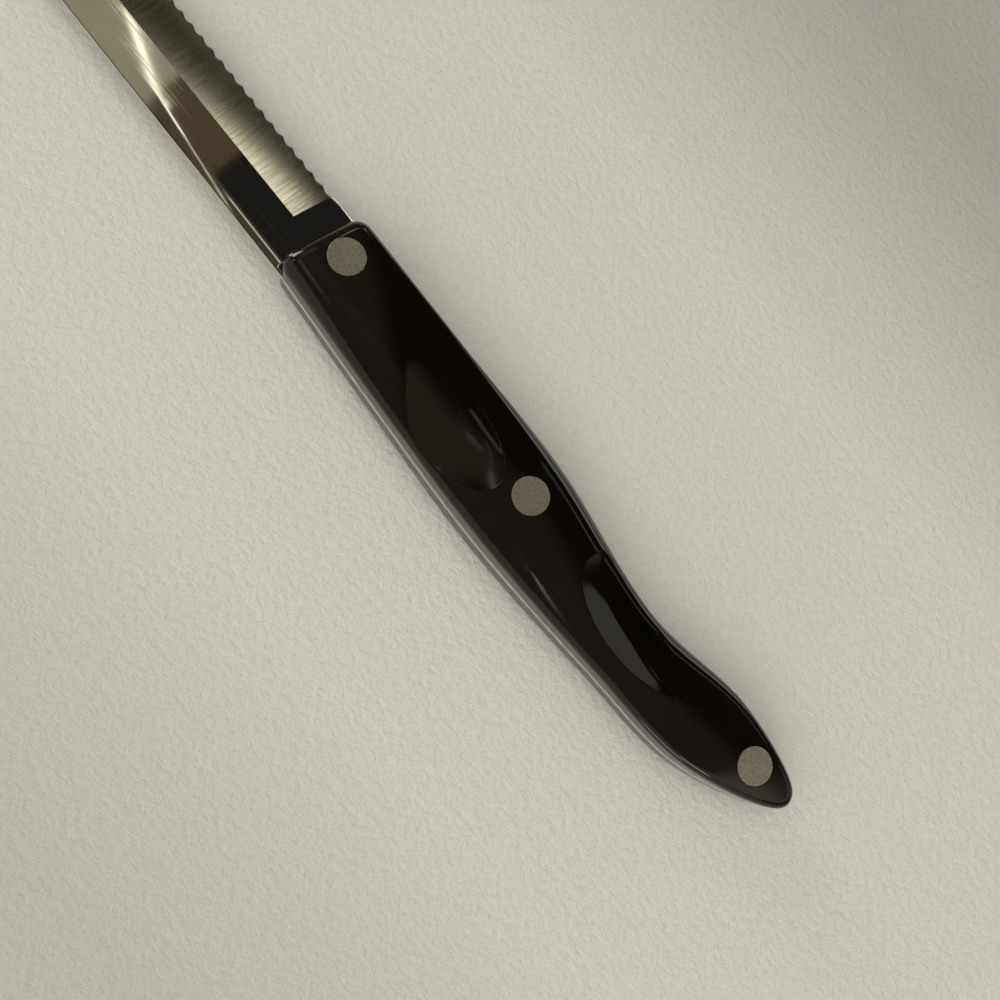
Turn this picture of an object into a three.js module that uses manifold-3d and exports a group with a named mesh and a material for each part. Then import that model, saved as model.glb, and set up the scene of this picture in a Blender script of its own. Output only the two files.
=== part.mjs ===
// A slim carving knife: a hollow-ground, scalloped blade with a full tang, two sculpted handle
// scales and three two-piece cutler's rivets, each a post pressed into a socket.
//
// Millimetres. +X runs to the point, +Y to the spine and +Z out of the face that is up when the
// knife lies on its side. While it is drawn, the front of the scales stands at X = 0, the line
// through the front and rear rivets is Y = 0 and the middle of the blade's thickness is Z = 0.

import * as THREE from 'three';
import { mergeVertices } from 'three/addons/utils/BufferGeometryUtils.js';
import Module from 'manifold-3d';

const wasm = await Module();
wasm.setup();

// Blade
const BLADE_LENGTH = 203; // front of the scales to the point
const BLADE_THICKNESS = 1.8;
const EDGE_BELOW_RIVETS = 6.7; // straight cutting edge below the rivet line
const SPINE_BEFORE_TIP = 8.2; // spine above the rivet line where the tip begins
const TIP_LENGTH = 46; // stretch in which edge and spine run to the point
const TIP_ABOVE_EDGE = 8.6; // the point above the straight edge
const EDGE_CURVE_REACH = 30; // how far the straight edge's line is held into the tip
const SPINE_CURVE_REACH = 26; // how far the spine's line is held into the tip
const RICASSO_LENGTH = 5.6; // unground steel between the scales and the grind
const TANG_OVERLAP = 12; // how far the blade's bar is drawn into the tang

// Hollow grind, alike on both sides
const GRIND_HEIGHT = 8; // edge to grind line
const GRIND_STEP = 0.14; // drop from the flat to the grind at its line
const GRIND_HOLLOW = 0.12; // depth of the hollow below a straight taper
const EDGE_THICKNESS = 0.5;
const GRIND_RUNOFF = 2; // how far the grinding passes run past the steel

// Scalloped edge
const TOOTH_PITCH = 2.8;
const TOOTH_DEPTH = 0.52;
const TOOTH_TILT = 28; // degrees that each scallop leans, so it bevels the lower side
const PLAIN_TIP = 12; // stretch without scallops before the point
const SCALLOP_CUT_LENGTH = 8; // length of the cut across the edge

// Handle stations, each measured on from the one before, from the front of the scales to the butt
const FRONT_TO_THUMB = 30;
const THUMB_TO_SWELL = 27.6;
const SWELL_TO_WAIST = 30.4;
const WAIST_TO_HEEL = 23;
const HEEL_TO_BUTT = 18.4;

// Handle outline at the stations: spine above the rivet line, belly below it
const SPINE_AT_FRONT = 9.9;
const SPINE_AT_THUMB = 11.75;
const SPINE_AT_SWELL = 12.95;
const SPINE_AT_WAIST = 11.7;
const SPINE_AT_HEEL = 9.75;
const BELLY_AT_FRONT = 7.5;
const BELLY_AT_THUMB = 7.15;
const BELLY_AT_SWELL = 7.35;
const BELLY_AT_WAIST = 3.75;
const BELLY_AT_HEEL = 6.35;
const BUTT_BELOW_RIVETS = 0.8; // end of the butt below the rivet line
const BUTT_NOSE_RADIUS = 3;
const NOSE_SPREAD = 60; // degrees to each side of the butt's end that its round nose covers
const FRONT_SLANT = 7.4; // degrees that the front of the scales leans to the point at the spine
const SPINE_RIM_CORNER = 0.5; // radius that the front corners keep inside the rounded edge
const BELLY_RIM_CORNER = 1;

// Height of each scale's crown above the tang at the stations
const CROWN_AT_FRONT = 5.9;
const CROWN_AT_THUMB = 5.5;
const CROWN_AT_SWELL = 6.2;
const CROWN_AT_WAIST = 5.0;
const CROWN_AT_HEEL = 4.9;
const CROWN_AT_BUTT = 3.3;
const CROWN_RADIUS_TO_SPINE = 26; // roundness of the crown across the handle
const CROWN_RADIUS_TO_BELLY = 55;
const CROWN_LEAN = 0.06; // rise of the face per millimetre towards the spine

// Rounding of the outer edges of the scales
const ROUND_AT_FRONT = 2.1; // front and both corners
const SPINE_ROUND = 1.1; // along the spine, behind the front
const BELLY_ROUND_AT_THUMB = 1.2;
const BELLY_ROUND_AT_SWELL = 3.4;
const BELLY_ROUND_AT_WAIST = 3.2;
const BELLY_ROUND_AT_HEEL = 1.8;
const ROUND_AT_BUTT = 1.5;
const LEAST_WALL = 0.5; // upright wall that is left under a rounding

// Thumb and palm scoops in each face: an oval bowl, and a flank that runs into it from a crease. The
// thumb's crease lies towards the spine and runs back from its pointed end, the palm's lies towards
// the belly and runs forward
const THUMB_BOWL_BEHIND_FRONT = 37.6;
const THUMB_BOWL_ABOVE_RIVETS = 5;
const THUMB_BOWL_LENGTH = 30.8;
const THUMB_BOWL_WIDTH = 14.1;
const THUMB_BOWL_DEPTH = 1.4;
const THUMB_CREASE_BEHIND_FRONT = 23.7;
const THUMB_CREASE_ABOVE_RIVETS = 2;
const THUMB_CREASE_TURN = 45; // degrees between the crease's end and the handle
const THUMB_CREASE_BEND = 22; // radius of the crease at its end
const THUMB_FLANK_FALL = 0.02; // drop of the flank per millimetre from the crease
const PALM_BOWL_BEHIND_SWELL = 30.1;
const PALM_BOWL_BELOW_RIVETS = 0.1;
const PALM_BOWL_LENGTH = 31.2;
const PALM_BOWL_WIDTH = 15.1;
const PALM_BOWL_DEPTH = 1.3;
const PALM_CREASE_BEHIND_SWELL = 44.8;
const PALM_CREASE_ABOVE_RIVETS = 2.6;
const PALM_CREASE_TURN = 28.4;
const PALM_CREASE_BEND = 46;
const PALM_FLANK_FALL = 0.065;
const SCOOP_RIM = 1.12; // where each bowl's cut ends, as a share of the bowl
const SCOOP_FLANK = 1.2; // length of each flank's cut, as a share of the bowl

// Rivets
const RIVET_HEAD_DIAMETER = 7;
const RIVET_SOCKET_DIAMETER = 4.6;
const RIVET_POST_DIAMETER = 3;
const RIVET_SEAT = 1.8; // underside of each head above the tang
const RIVET_END_GAP = 0.4; // from the post's end to the bottom of its socket
const FRONT_RIVET_SETBACK = 5.6; // behind the front of the scales
const REAR_RIVET_SETBACK = 9.8; // ahead of the butt
const MIDDLE_RIVET_RISE = 1.4; // above the line of the other two

// Fits
const TANG_RELIEF = 0.1; // the tang is ground this much thinner on each side than the blade
const RELIEF_MARGIN = 0.25; // how far the relief shows ahead of the scales
const BOND_GAP = 0.05; // between tang and scale
const RIVET_CLEARANCE = 0.1; // round heads, sockets and posts

// Fineness of the curved faces
const OUTLINE_STEPS = 84;
const CORNER_STEPS = 4;
const ROUND_STEPS = 4;
const FACE_RINGS = 4;
const TIP_STEPS = 14;
const HOLLOW_STEPS = 5;
const SCALLOP_SIDES = 18;
const RIVET_SIDES = 28;
const BOWL_SIDES = 48;
const BOWL_STEPS = 12;
const FLANK_STEPS = 24;

// Places that follow from the sizes above
const THUMB_STATION = FRONT_TO_THUMB;
const SWELL_STATION = THUMB_STATION + THUMB_TO_SWELL;
const WAIST_STATION = SWELL_STATION + SWELL_TO_WAIST;
const HEEL_STATION = WAIST_STATION + WAIST_TO_HEEL;
const BUTT_STATION = HEEL_STATION + HEEL_TO_BUTT;
const STATIONS = [0, THUMB_STATION, SWELL_STATION, WAIST_STATION, HEEL_STATION, BUTT_STATION];
const FRONT_SLOPE = Math.tan(THREE.MathUtils.degToRad(FRONT_SLANT));
const SPINE_CORNER = ROUND_AT_FRONT + SPINE_RIM_CORNER;
const BELLY_CORNER = ROUND_AT_FRONT + BELLY_RIM_CORNER;
const TANG_FACE = BLADE_THICKNESS / 2 - TANG_RELIEF;
const SCALE_FACE = TANG_FACE + BOND_GAP;

const SEAT = SCALE_FACE + RIVET_SEAT;

const RIVETS = [
  { name: 'front', x: -FRONT_RIVET_SETBACK, y: 0 },
  { name: 'middle', x: -SWELL_STATION, y: MIDDLE_RIVET_RISE },
  { name: 'rear', x: REAR_RIVET_SETBACK - BUTT_STATION, y: 0 },
];

const SCOOPS = [
  {
    x: -THUMB_BOWL_BEHIND_FRONT,
    y: THUMB_BOWL_ABOVE_RIVETS,
    length: THUMB_BOWL_LENGTH,
    width: THUMB_BOWL_WIDTH,
    depth: THUMB_BOWL_DEPTH,
    creaseX: -THUMB_CREASE_BEHIND_FRONT,
    creaseY: THUMB_CREASE_ABOVE_RIVETS,
    turn: THUMB_CREASE_TURN,
    bend: THUMB_CREASE_BEND,
    fall: THUMB_FLANK_FALL,
    side: 1,
  },
  {
    x: -SWELL_STATION - PALM_BOWL_BEHIND_SWELL,
    y: -PALM_BOWL_BELOW_RIVETS,
    length: PALM_BOWL_LENGTH,
    width: PALM_BOWL_WIDTH,
    depth: PALM_BOWL_DEPTH,
    creaseX: -SWELL_STATION - PALM_CREASE_BEHIND_SWELL,
    creaseY: PALM_CREASE_ABOVE_RIVETS,
    turn: PALM_CREASE_TURN,
    bend: PALM_CREASE_BEND,
    fall: PALM_FLANK_FALL,
    side: -1,
  },
];

const CROWNS = [
  CROWN_AT_FRONT,
  CROWN_AT_THUMB,
  CROWN_AT_SWELL,
  CROWN_AT_WAIST,
  CROWN_AT_HEEL,
  CROWN_AT_BUTT,
];
const crownAlong = alongHandle(CROWNS);
const middleAlong = alongHandle([
  (SPINE_AT_FRONT - BELLY_AT_FRONT) / 2,
  (SPINE_AT_THUMB - BELLY_AT_THUMB) / 2,
  (SPINE_AT_SWELL - BELLY_AT_SWELL) / 2,
  (SPINE_AT_WAIST - BELLY_AT_WAIST) / 2,
  (SPINE_AT_HEEL - BELLY_AT_HEEL) / 2,
  -BUTT_BELOW_RIVETS,
]);
const ABOVE_CROWN = SCALE_FACE + 2 * Math.max(...CROWNS);
const spineRoundAlong = alongHandle([
  ROUND_AT_FRONT,
  SPINE_ROUND,
  SPINE_ROUND,
  SPINE_ROUND,
  SPINE_ROUND,
  ROUND_AT_BUTT,
]);
const bellyRoundAlong = alongHandle([
  ROUND_AT_FRONT,
  BELLY_ROUND_AT_THUMB,
  BELLY_ROUND_AT_SWELL,
  BELLY_ROUND_AT_WAIST,
  BELLY_ROUND_AT_HEEL,
  ROUND_AT_BUTT,
]);

// A smooth course through one value per handle station, as a function of X
function alongHandle(values) {
  const slopes = values.map((value, i) => {
    const before = Math.max(i - 1, 0);
    const after = Math.min(i + 1, values.length - 1);
    return (values[after] - values[before]) / (STATIONS[after] - STATIONS[before]);
  });
  return (x) => {
    const distance = THREE.MathUtils.clamp(-x, 0, BUTT_STATION);
    let i = 0;
    while (i < STATIONS.length - 2 && distance > STATIONS[i + 1]) {
      i += 1;
    }
    const span = STATIONS[i + 1] - STATIONS[i];
    const t = (distance - STATIONS[i]) / span;
    const rise = t * t * (3 - 2 * t);
    const lead = t * (1 - t) * (1 - t) * slopes[i] * span;
    const trail = t * t * (1 - t) * slopes[i + 1] * span;
    return values[i] + (values[i + 1] - values[i]) * rise + lead - trail;
  };
}

// The corners that a geometry repeats along its seams become one corner each; triangles that this
// closes up, as at a lathe's axis, are left out
function closed(geometry) {
  geometry.deleteAttribute('normal');
  geometry.deleteAttribute('uv');
  const merged = mergeVertices(geometry);
  const index = [];
  for (let i = 0; i < merged.index.count; i += 3) {
    const [a, b, c] = merged.index.array.slice(i, i + 3);
    if (a !== b && b !== c && c !== a) {
      index.push(a, b, c);
    }
  }
  return merged.setIndex(index);
}

// A closed geometry as a solid that can be joined and cut
function solidOf(geometry) {
  const mesh = new wasm.Mesh({
    numProp: 3,
    vertProperties: new Float32Array(geometry.attributes.position.array),
    triVerts: new Uint32Array(geometry.index.array),
  });
  return new wasm.Manifold(mesh);
}

function geometryOf(solid) {
  const mesh = solid.getMesh();
  const geometry = new THREE.BufferGeometry();
  geometry.setAttribute('position', new THREE.BufferAttribute(mesh.vertProperties, 3));
  geometry.setIndex(new THREE.BufferAttribute(mesh.triVerts, 1));
  geometry.computeVertexNormals();
  return geometry;
}

// The same geometry seen in the plane Z = 0, with its faces still pointing out
function mirrored(geometry) {
  const copy = geometry.clone().scale(1, 1, -1);
  const index = copy.index.array;
  for (let i = 0; i < index.length; i += 3) {
    const second = index[i + 1];
    index[i + 1] = index[i + 2];
    index[i + 2] = second;
  }
  return copy;
}

// A skin over rings of equally many points, closed at both ends; flatten gives the place of a
// ring's point in the plane in which an end is filled
function loft(rings, flatten) {
  const count = rings[0].length;
  const positions = rings.flat().flatMap((point) => point.toArray());
  const index = [];
  for (let k = 0; k < rings.length - 1; k += 1) {
    for (let i = 0; i < count; i += 1) {
      const next = (i + 1) % count;
      const low = k * count;
      const high = low + count;
      index.push(low + i, low + next, high + next);
      index.push(low + i, high + next, high + i);
    }
  }
  const last = (rings.length - 1) * count;
  for (const [a, b, c] of THREE.ShapeUtils.triangulateShape(rings[0].map(flatten), [])) {
    index.push(a, c, b);
  }
  for (const [a, b, c] of THREE.ShapeUtils.triangulateShape(rings.at(-1).map(flatten), [])) {
    index.push(last + a, last + b, last + c);
  }
  const geometry = new THREE.BufferGeometry();
  geometry.setAttribute('position', new THREE.Float32BufferAttribute(positions, 3));
  geometry.setIndex(index);
  return geometry;
}

// A flat plate from an outline, between two heights
function plate(outline, bottom, top) {
  const geometry = new THREE.ExtrudeGeometry(new THREE.Shape(outline), {
    depth: top - bottom,
    bevelEnabled: false,
  });
  return closed(geometry).translate(0, 0, bottom);
}

// An upright round bar centred on a rivet, between two heights
function upright(rivet, diameter, bottom, top) {
  const radius = diameter / 2;
  const geometry = closed(new THREE.CylinderGeometry(radius, radius, top - bottom, RIVET_SIDES));
  geometry.rotateX(Math.PI / 2);
  return geometry.translate(rivet.x, rivet.y, (bottom + top) / 2);
}

function onFront(height) {
  return new THREE.Vector2(height * FRONT_SLOPE, height);
}

// A round corner of the given radius between two sides, which leave the corner in the given
// directions; the arc runs anticlockwise from the first side to the second
function roundCorner(corner, first, second, radius) {
  const half = Math.acos(first.dot(second)) / 2;
  const middle = first.clone().add(second).normalize();
  const centre = corner.clone().addScaledVector(middle, radius / Math.sin(half));
  const start = corner.clone().addScaledVector(first, radius / Math.tan(half)).sub(centre);
  const end = corner.clone().addScaledVector(second, radius / Math.tan(half)).sub(centre);
  const arc = new THREE.EllipseCurve(centre.x, centre.y, radius, radius, start.angle(), end.angle());
  return arc.getPoints(CORNER_STEPS);
}

// The handle in plan: up its slanted front, back along the spine, round the butt and forward
// along the belly
function handleOutline() {
  const up = onFront(1).normalize();
  const down = up.clone().negate();
  const back = new THREE.Vector2(-1, 0);
  const spineBend = roundCorner(onFront(SPINE_AT_FRONT), down, back, SPINE_CORNER);
  const bellyBend = roundCorner(onFront(-BELLY_AT_FRONT), back, up, BELLY_CORNER);
  const nose = THREE.MathUtils.degToRad(NOSE_SPREAD);
  const noseX = BUTT_NOSE_RADIUS * (1 - Math.cos(nose)) - BUTT_STATION;
  const noseY = BUTT_NOSE_RADIUS * Math.sin(nose);
  const along = [
    spineBend.at(-1).toArray(),
    [-THUMB_STATION, SPINE_AT_THUMB],
    [-SWELL_STATION, SPINE_AT_SWELL],
    [-WAIST_STATION, SPINE_AT_WAIST],
    [-HEEL_STATION, SPINE_AT_HEEL],
    [noseX, noseY - BUTT_BELOW_RIVETS],
    [-BUTT_STATION, -BUTT_BELOW_RIVETS],
    [noseX, -noseY - BUTT_BELOW_RIVETS],
    [-HEEL_STATION, -BELLY_AT_HEEL],
    [-WAIST_STATION, -BELLY_AT_WAIST],
    [-SWELL_STATION, -BELLY_AT_SWELL],
    [-THUMB_STATION, -BELLY_AT_THUMB],
    bellyBend[0].toArray(),
  ].map(([x, y]) => new THREE.Vector3(x, y, 0));
  const course = new THREE.CatmullRomCurve3(along, false, 'centripetal').getPoints(OUTLINE_STEPS);
  const bends = [...bellyBend, ...spineBend];
  return [...bends, ...course.slice(1, -1).map(({ x, y }) => new THREE.Vector2(x, y))];
}

// The cutting edge in plan, as straight stretch and curve, with its direction at each point
function edgeCourse() {
  const heel = new THREE.Vector2(RICASSO_LENGTH, -EDGE_BELOW_RIVETS);
  const bend = new THREE.Vector2(BLADE_LENGTH - TIP_LENGTH, -EDGE_BELOW_RIVETS);
  const hold = new THREE.Vector2(bend.x + EDGE_CURVE_REACH, -EDGE_BELOW_RIVETS);
  const point = new THREE.Vector2(BLADE_LENGTH, TIP_ABOVE_EDGE - EDGE_BELOW_RIVETS);
  return {
    straight: new THREE.LineCurve(heel, bend),
    curved: new THREE.QuadraticBezierCurve(bend, hold, point),
  };
}

// The blade's bar in plan, drawn a little way into the tang
function bladeOutline(course) {
  const bend = new THREE.Vector2(BLADE_LENGTH - TIP_LENGTH, SPINE_BEFORE_TIP);
  const slope = (SPINE_AT_FRONT - SPINE_BEFORE_TIP) / bend.x;
  const hold = new THREE.Vector2(
    bend.x + SPINE_CURVE_REACH,
    SPINE_BEFORE_TIP - slope * SPINE_CURVE_REACH,
  );
  const spine = new THREE.QuadraticBezierCurve(course.curved.v2, hold, bend);
  return [
    new THREE.Vector2(-TANG_OVERLAP, -EDGE_BELOW_RIVETS),
    ...course.curved.getPoints(TIP_STEPS),
    ...spine.getPoints(TIP_STEPS).slice(1),
    new THREE.Vector2(-TANG_OVERLAP, SPINE_AT_FRONT),
  ];
}

// What the hollow grind takes off the upper side: its section follows the cutting edge from the
// slanted heel to past the point
function grindCut(course) {
  const clear = BLADE_THICKNESS / 2 + GRIND_RUNOFF;
  const shoulder = BLADE_THICKNESS / 2 - GRIND_STEP;
  const edge = EDGE_THICKNESS / 2;
  const section = [new THREE.Vector2(-GRIND_RUNOFF, edge)];
  for (let i = 0; i <= HOLLOW_STEPS; i += 1) {
    const t = i / HOLLOW_STEPS;
    const depth = THREE.MathUtils.lerp(edge, shoulder, t) - 4 * GRIND_HOLLOW * t * (1 - t);
    section.push(new THREE.Vector2(t * GRIND_HEIGHT, depth));
  }
  section.push(new THREE.Vector2(GRIND_HEIGHT, clear));
  section.push(new THREE.Vector2(-GRIND_RUNOFF, clear));
  const ringAt = (place, direction, slant) => section.map(({ x, y }) => new THREE.Vector3(
    place.x - direction.y * x + slant * x,
    place.y + direction.x * x,
    y,
  ));
  const heelDirection = course.straight.getTangent(0);
  const rings = [ringAt(course.straight.v1, heelDirection, FRONT_SLOPE)];
  for (let i = 0; i <= TIP_STEPS; i += 1) {
    const t = i / TIP_STEPS;
    rings.push(ringAt(course.curved.getPoint(t), course.curved.getTangent(t), 0));
  }
  const lastDirection = course.curved.getTangent(1);
  const past = course.curved.v2.clone().addScaledVector(lastDirection, GRIND_RUNOFF);
  rings.push(ringAt(past, lastDirection, 0));
  return loft(rings, (point, i) => section[i]);
}

// One scallop's cut, centred outside the edge so that neighbours meet in a pointed tooth
function scallopCut(place, direction) {
  const tilt = THREE.MathUtils.degToRad(TOOTH_TILT);
  const radius = (TOOTH_PITCH * TOOTH_PITCH / 4 + TOOTH_DEPTH * TOOTH_DEPTH) / (2 * TOOTH_DEPTH);
  const outside = radius / Math.cos(tilt) - TOOTH_DEPTH;
  const bar = new THREE.CylinderGeometry(radius, radius, SCALLOP_CUT_LENGTH, SCALLOP_SIDES);
  const geometry = closed(bar);
  geometry.rotateX(Math.PI / 2 + tilt);
  geometry.rotateZ(direction.angle());
  return geometry.translate(place.x + direction.y * outside, place.y - direction.x * outside, 0);
}

function makeBlade(outline) {
  const half = BLADE_THICKNESS / 2;
  const course = edgeCourse();
  let blade = solidOf(plate(bladeOutline(course), -half, half));
  const grind = grindCut(course);
  blade = blade.subtract(solidOf(grind)).subtract(solidOf(mirrored(grind)));

  const edge = new THREE.CurvePath();
  edge.add(course.straight);
  edge.add(course.curved);
  const edgeLength = edge.getLength();
  for (let at = TOOTH_PITCH / 2; at < edgeLength - PLAIN_TIP; at += TOOTH_PITCH) {
    const t = at / edgeLength;
    blade = blade.subtract(solidOf(scallopCut(edge.getPointAt(t), edge.getTangentAt(t))));
  }

  blade = blade.add(solidOf(plate(outline, -half, half)));
  const relief = reliefCut();
  blade = blade.subtract(solidOf(relief)).subtract(solidOf(mirrored(relief)));
  for (const rivet of RIVETS) {
    const bore = RIVET_SOCKET_DIAMETER + 2 * RIVET_CLEARANCE;
    blade = blade.subtract(solidOf(upright(rivet, bore, -BLADE_THICKNESS, BLADE_THICKNESS)));
  }
  return geometryOf(blade);
}

// What the relief takes off the upper side of the tang, up to a line just ahead of the scales
function reliefCut() {
  const reach = SPINE_AT_SWELL + BELLY_AT_SWELL;
  const back = -BUTT_STATION - RELIEF_MARGIN;
  const above = onFront(reach);
  const below = onFront(-reach);
  const outline = [
    new THREE.Vector2(back, -reach),
    new THREE.Vector2(below.x + RELIEF_MARGIN, -reach),
    new THREE.Vector2(above.x + RELIEF_MARGIN, reach),
    new THREE.Vector2(back, reach),
  ];
  return plate(outline, TANG_FACE, BLADE_THICKNESS);
}

// Height of a scale's face above the middle of the blade
function faceHeight(x, y) {
  const across = y - middleAlong(x);
  const radius = across > 0 ? CROWN_RADIUS_TO_SPINE : CROWN_RADIUS_TO_BELLY;
  return SCALE_FACE + crownAlong(x) + CROWN_LEAN * across - across * across / (2 * radius);
}

// A ring of the scale's rounded edge: each outline point moved in by its share of the rounding
function roundedRing(outline, turn) {
  return outline.map((point, i) => {
    const before = outline.at(i - 1);
    const after = outline[(i + 1) % outline.length];
    const inward = after.clone().sub(before).normalize().rotateAround(new THREE.Vector2(), Math.PI / 2);
    const onSpine = point.y > middleAlong(point.x);
    const wanted = onSpine ? spineRoundAlong(point.x) : bellyRoundAlong(point.x);
    const wall = faceHeight(point.x, point.y) - SCALE_FACE;
    const radius = Math.min(wanted, wall - LEAST_WALL);
    const place = point.clone().addScaledVector(inward, radius * (1 - Math.cos(turn)));
    const height = faceHeight(place.x, place.y) - radius * (1 - Math.sin(turn));
    return new THREE.Vector3(place.x, place.y, height);
  });
}

// The upper scale before it is scooped and bored: a wall round the outline, a rounded edge and a
// crowned face whose rings close in on the handle's middle line
function scaleBlank(outline) {
  const rings = [outline.map((point) => new THREE.Vector3(point.x, point.y, SCALE_FACE))];
  for (let i = 0; i <= ROUND_STEPS; i += 1) {
    rings.push(roundedRing(outline, Math.PI / 2 * i / ROUND_STEPS));
  }
  const rim = rings.at(-1);
  const foremost = -FRONT_RIVET_SETBACK;
  const rearmost = REAR_RIVET_SETBACK - BUTT_STATION;
  for (let i = 1; i <= FACE_RINGS; i += 1) {
    const share = i / (FACE_RINGS + 1);
    rings.push(rim.map((point) => {
      const middleX = THREE.MathUtils.clamp(point.x, rearmost, foremost);
      const x = THREE.MathUtils.lerp(point.x, middleX, share);
      const y = THREE.MathUtils.lerp(point.y, middleAlong(middleX), share);
      return new THREE.Vector3(x, y, faceHeight(x, y));
    }));
  }
  return loft(rings, (point) => new THREE.Vector2(point.x, point.y));
}

// What lies above a scoop's bowl: oval rings that sink below the face in the middle, meet it at the
// bowl's edge and stand clear of it beyond
function bowlCut(scoop) {
  const rings = [];
  for (let i = 1; i <= BOWL_STEPS; i += 1) {
    const share = SCOOP_RIM * i / BOWL_STEPS;
    const reach = share * scoop.length / 2;
    const breadth = share * scoop.width / 2;
    const sunk = scoop.depth * (1 - share * share);
    const oval = new THREE.EllipseCurve(scoop.x, scoop.y, reach, breadth).getPoints(BOWL_SIDES);
    rings.push(oval.slice(1).map(({ x, y }) => new THREE.Vector3(x, y, faceHeight(x, y) - sunk)));
  }
  rings.push(rings.at(-1).map(({ x, y }) => new THREE.Vector3(x, y, ABOVE_CROWN)));
  return loft(rings, (point) => new THREE.Vector2(point.x, point.y));
}

// What lies above a scoop's flank: at each step along the handle the flank runs straight across
// from its crease, where it meets the face
function flankCut(scoop) {
  const slope = Math.tan(THREE.MathUtils.degToRad(scoop.turn));
  const low = scoop.y - scoop.width;
  const high = scoop.y + scoop.width;
  const rings = [];
  for (let i = 0; i <= FLANK_STEPS; i += 1) {
    const x = scoop.x + SCOOP_FLANK * scoop.length * (i / FLANK_STEPS - 0.5);
    const along = scoop.side * (scoop.creaseX - x);
    const across = slope * along - along * along / (2 * scoop.bend);
    const crease = scoop.creaseY + scoop.side * across;
    const height = faceHeight(x, crease);
    const rise = scoop.side * scoop.fall;
    rings.push([
      new THREE.Vector3(x, low, height + rise * (low - crease)),
      new THREE.Vector3(x, high, height + rise * (high - crease)),
      new THREE.Vector3(x, high, ABOVE_CROWN),
      new THREE.Vector3(x, low, ABOVE_CROWN),
    ]);
  }
  return loft(rings, (point) => new THREE.Vector2(point.y, point.z));
}

// The upper scale's outer form, which the rivet heads are ground flush with
function scaleForm(outline) {
  let form = solidOf(scaleBlank(outline));
  for (const scoop of SCOOPS) {
    form = form.subtract(solidOf(bowlCut(scoop)).intersect(solidOf(flankCut(scoop))));
  }
  return form;
}

function makeScale(form) {
  let scale = form;
  for (const rivet of RIVETS) {
    const bore = RIVET_SOCKET_DIAMETER + 2 * RIVET_CLEARANCE;
    const recess = RIVET_HEAD_DIAMETER + 2 * RIVET_CLEARANCE;
    scale = scale.subtract(solidOf(upright(rivet, bore, 0, ABOVE_CROWN)));
    scale = scale.subtract(solidOf(upright(rivet, recess, SEAT - RIVET_CLEARANCE, ABOVE_CROWN)));
  }
  return geometryOf(scale);
}

function rivetHead(form, rivet) {
  return form.intersect(solidOf(upright(rivet, RIVET_HEAD_DIAMETER, SEAT, ABOVE_CROWN)));
}

// The post: a head in the upper scale and a pin that reaches into the socket
function makePost(form, rivet) {
  const end = RIVET_END_GAP - SEAT;
  const pin = upright(rivet, RIVET_POST_DIAMETER, end, SEAT + RIVET_SEAT / 2);
  return geometryOf(rivetHead(form, rivet).add(solidOf(pin)));
}

// The socket, drawn upside down: a head in the lower scale and a tube round the post
function makeSocket(form, rivet) {
  const hole = RIVET_POST_DIAMETER + 2 * RIVET_CLEARANCE;
  const tube = upright(rivet, RIVET_SOCKET_DIAMETER, RIVET_CLEARANCE - SEAT, SEAT + RIVET_SEAT / 2);
  const bore = upright(rivet, hole, -SEAT - RIVET_SEAT, SEAT);
  const socket = rivetHead(form, rivet).add(solidOf(tube)).subtract(solidOf(bore));
  return mirrored(geometryOf(socket));
}

const steel = { color: 0xc9c8c1, roughness: 0.22, metalness: 1 };
const resin = { color: 0x2b211b, roughness: 0.12, metalness: 0 };
const nickelSilver = { color: 0x9b9483, roughness: 0.34, metalness: 1 };

const knife = new THREE.Group();

function addPiece(name, geometry, finish) {
  const mesh = new THREE.Mesh(geometry, new THREE.MeshStandardMaterial(finish));
  mesh.name = name;
  knife.add(mesh);
}

const outline = handleOutline();
const form = scaleForm(outline);
const scaleGeometry = makeScale(form);
addPiece('blade_and_tang', makeBlade(outline), steel);
addPiece('upper_scale', scaleGeometry, resin);
addPiece('lower_scale', mirrored(scaleGeometry), resin);
for (const rivet of RIVETS) {
  addPiece(`${rivet.name}_rivet_post`, makePost(form, rivet), nickelSilver);
  addPiece(`${rivet.name}_rivet_socket`, makeSocket(form, rivet), nickelSilver);
}

// The part's origin is the middle of its footprint, on the surface it lies on
const box = new THREE.Box3().setFromObject(knife);
const centre = box.getCenter(new THREE.Vector3());
knife.position.set(-centre.x, -centre.y, -box.min.z);

export default knife;
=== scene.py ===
import math

import bpy
import numpy as np
from bpy.props import FloatProperty, FloatVectorProperty, PointerProperty
from mathutils import Matrix, Vector


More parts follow.
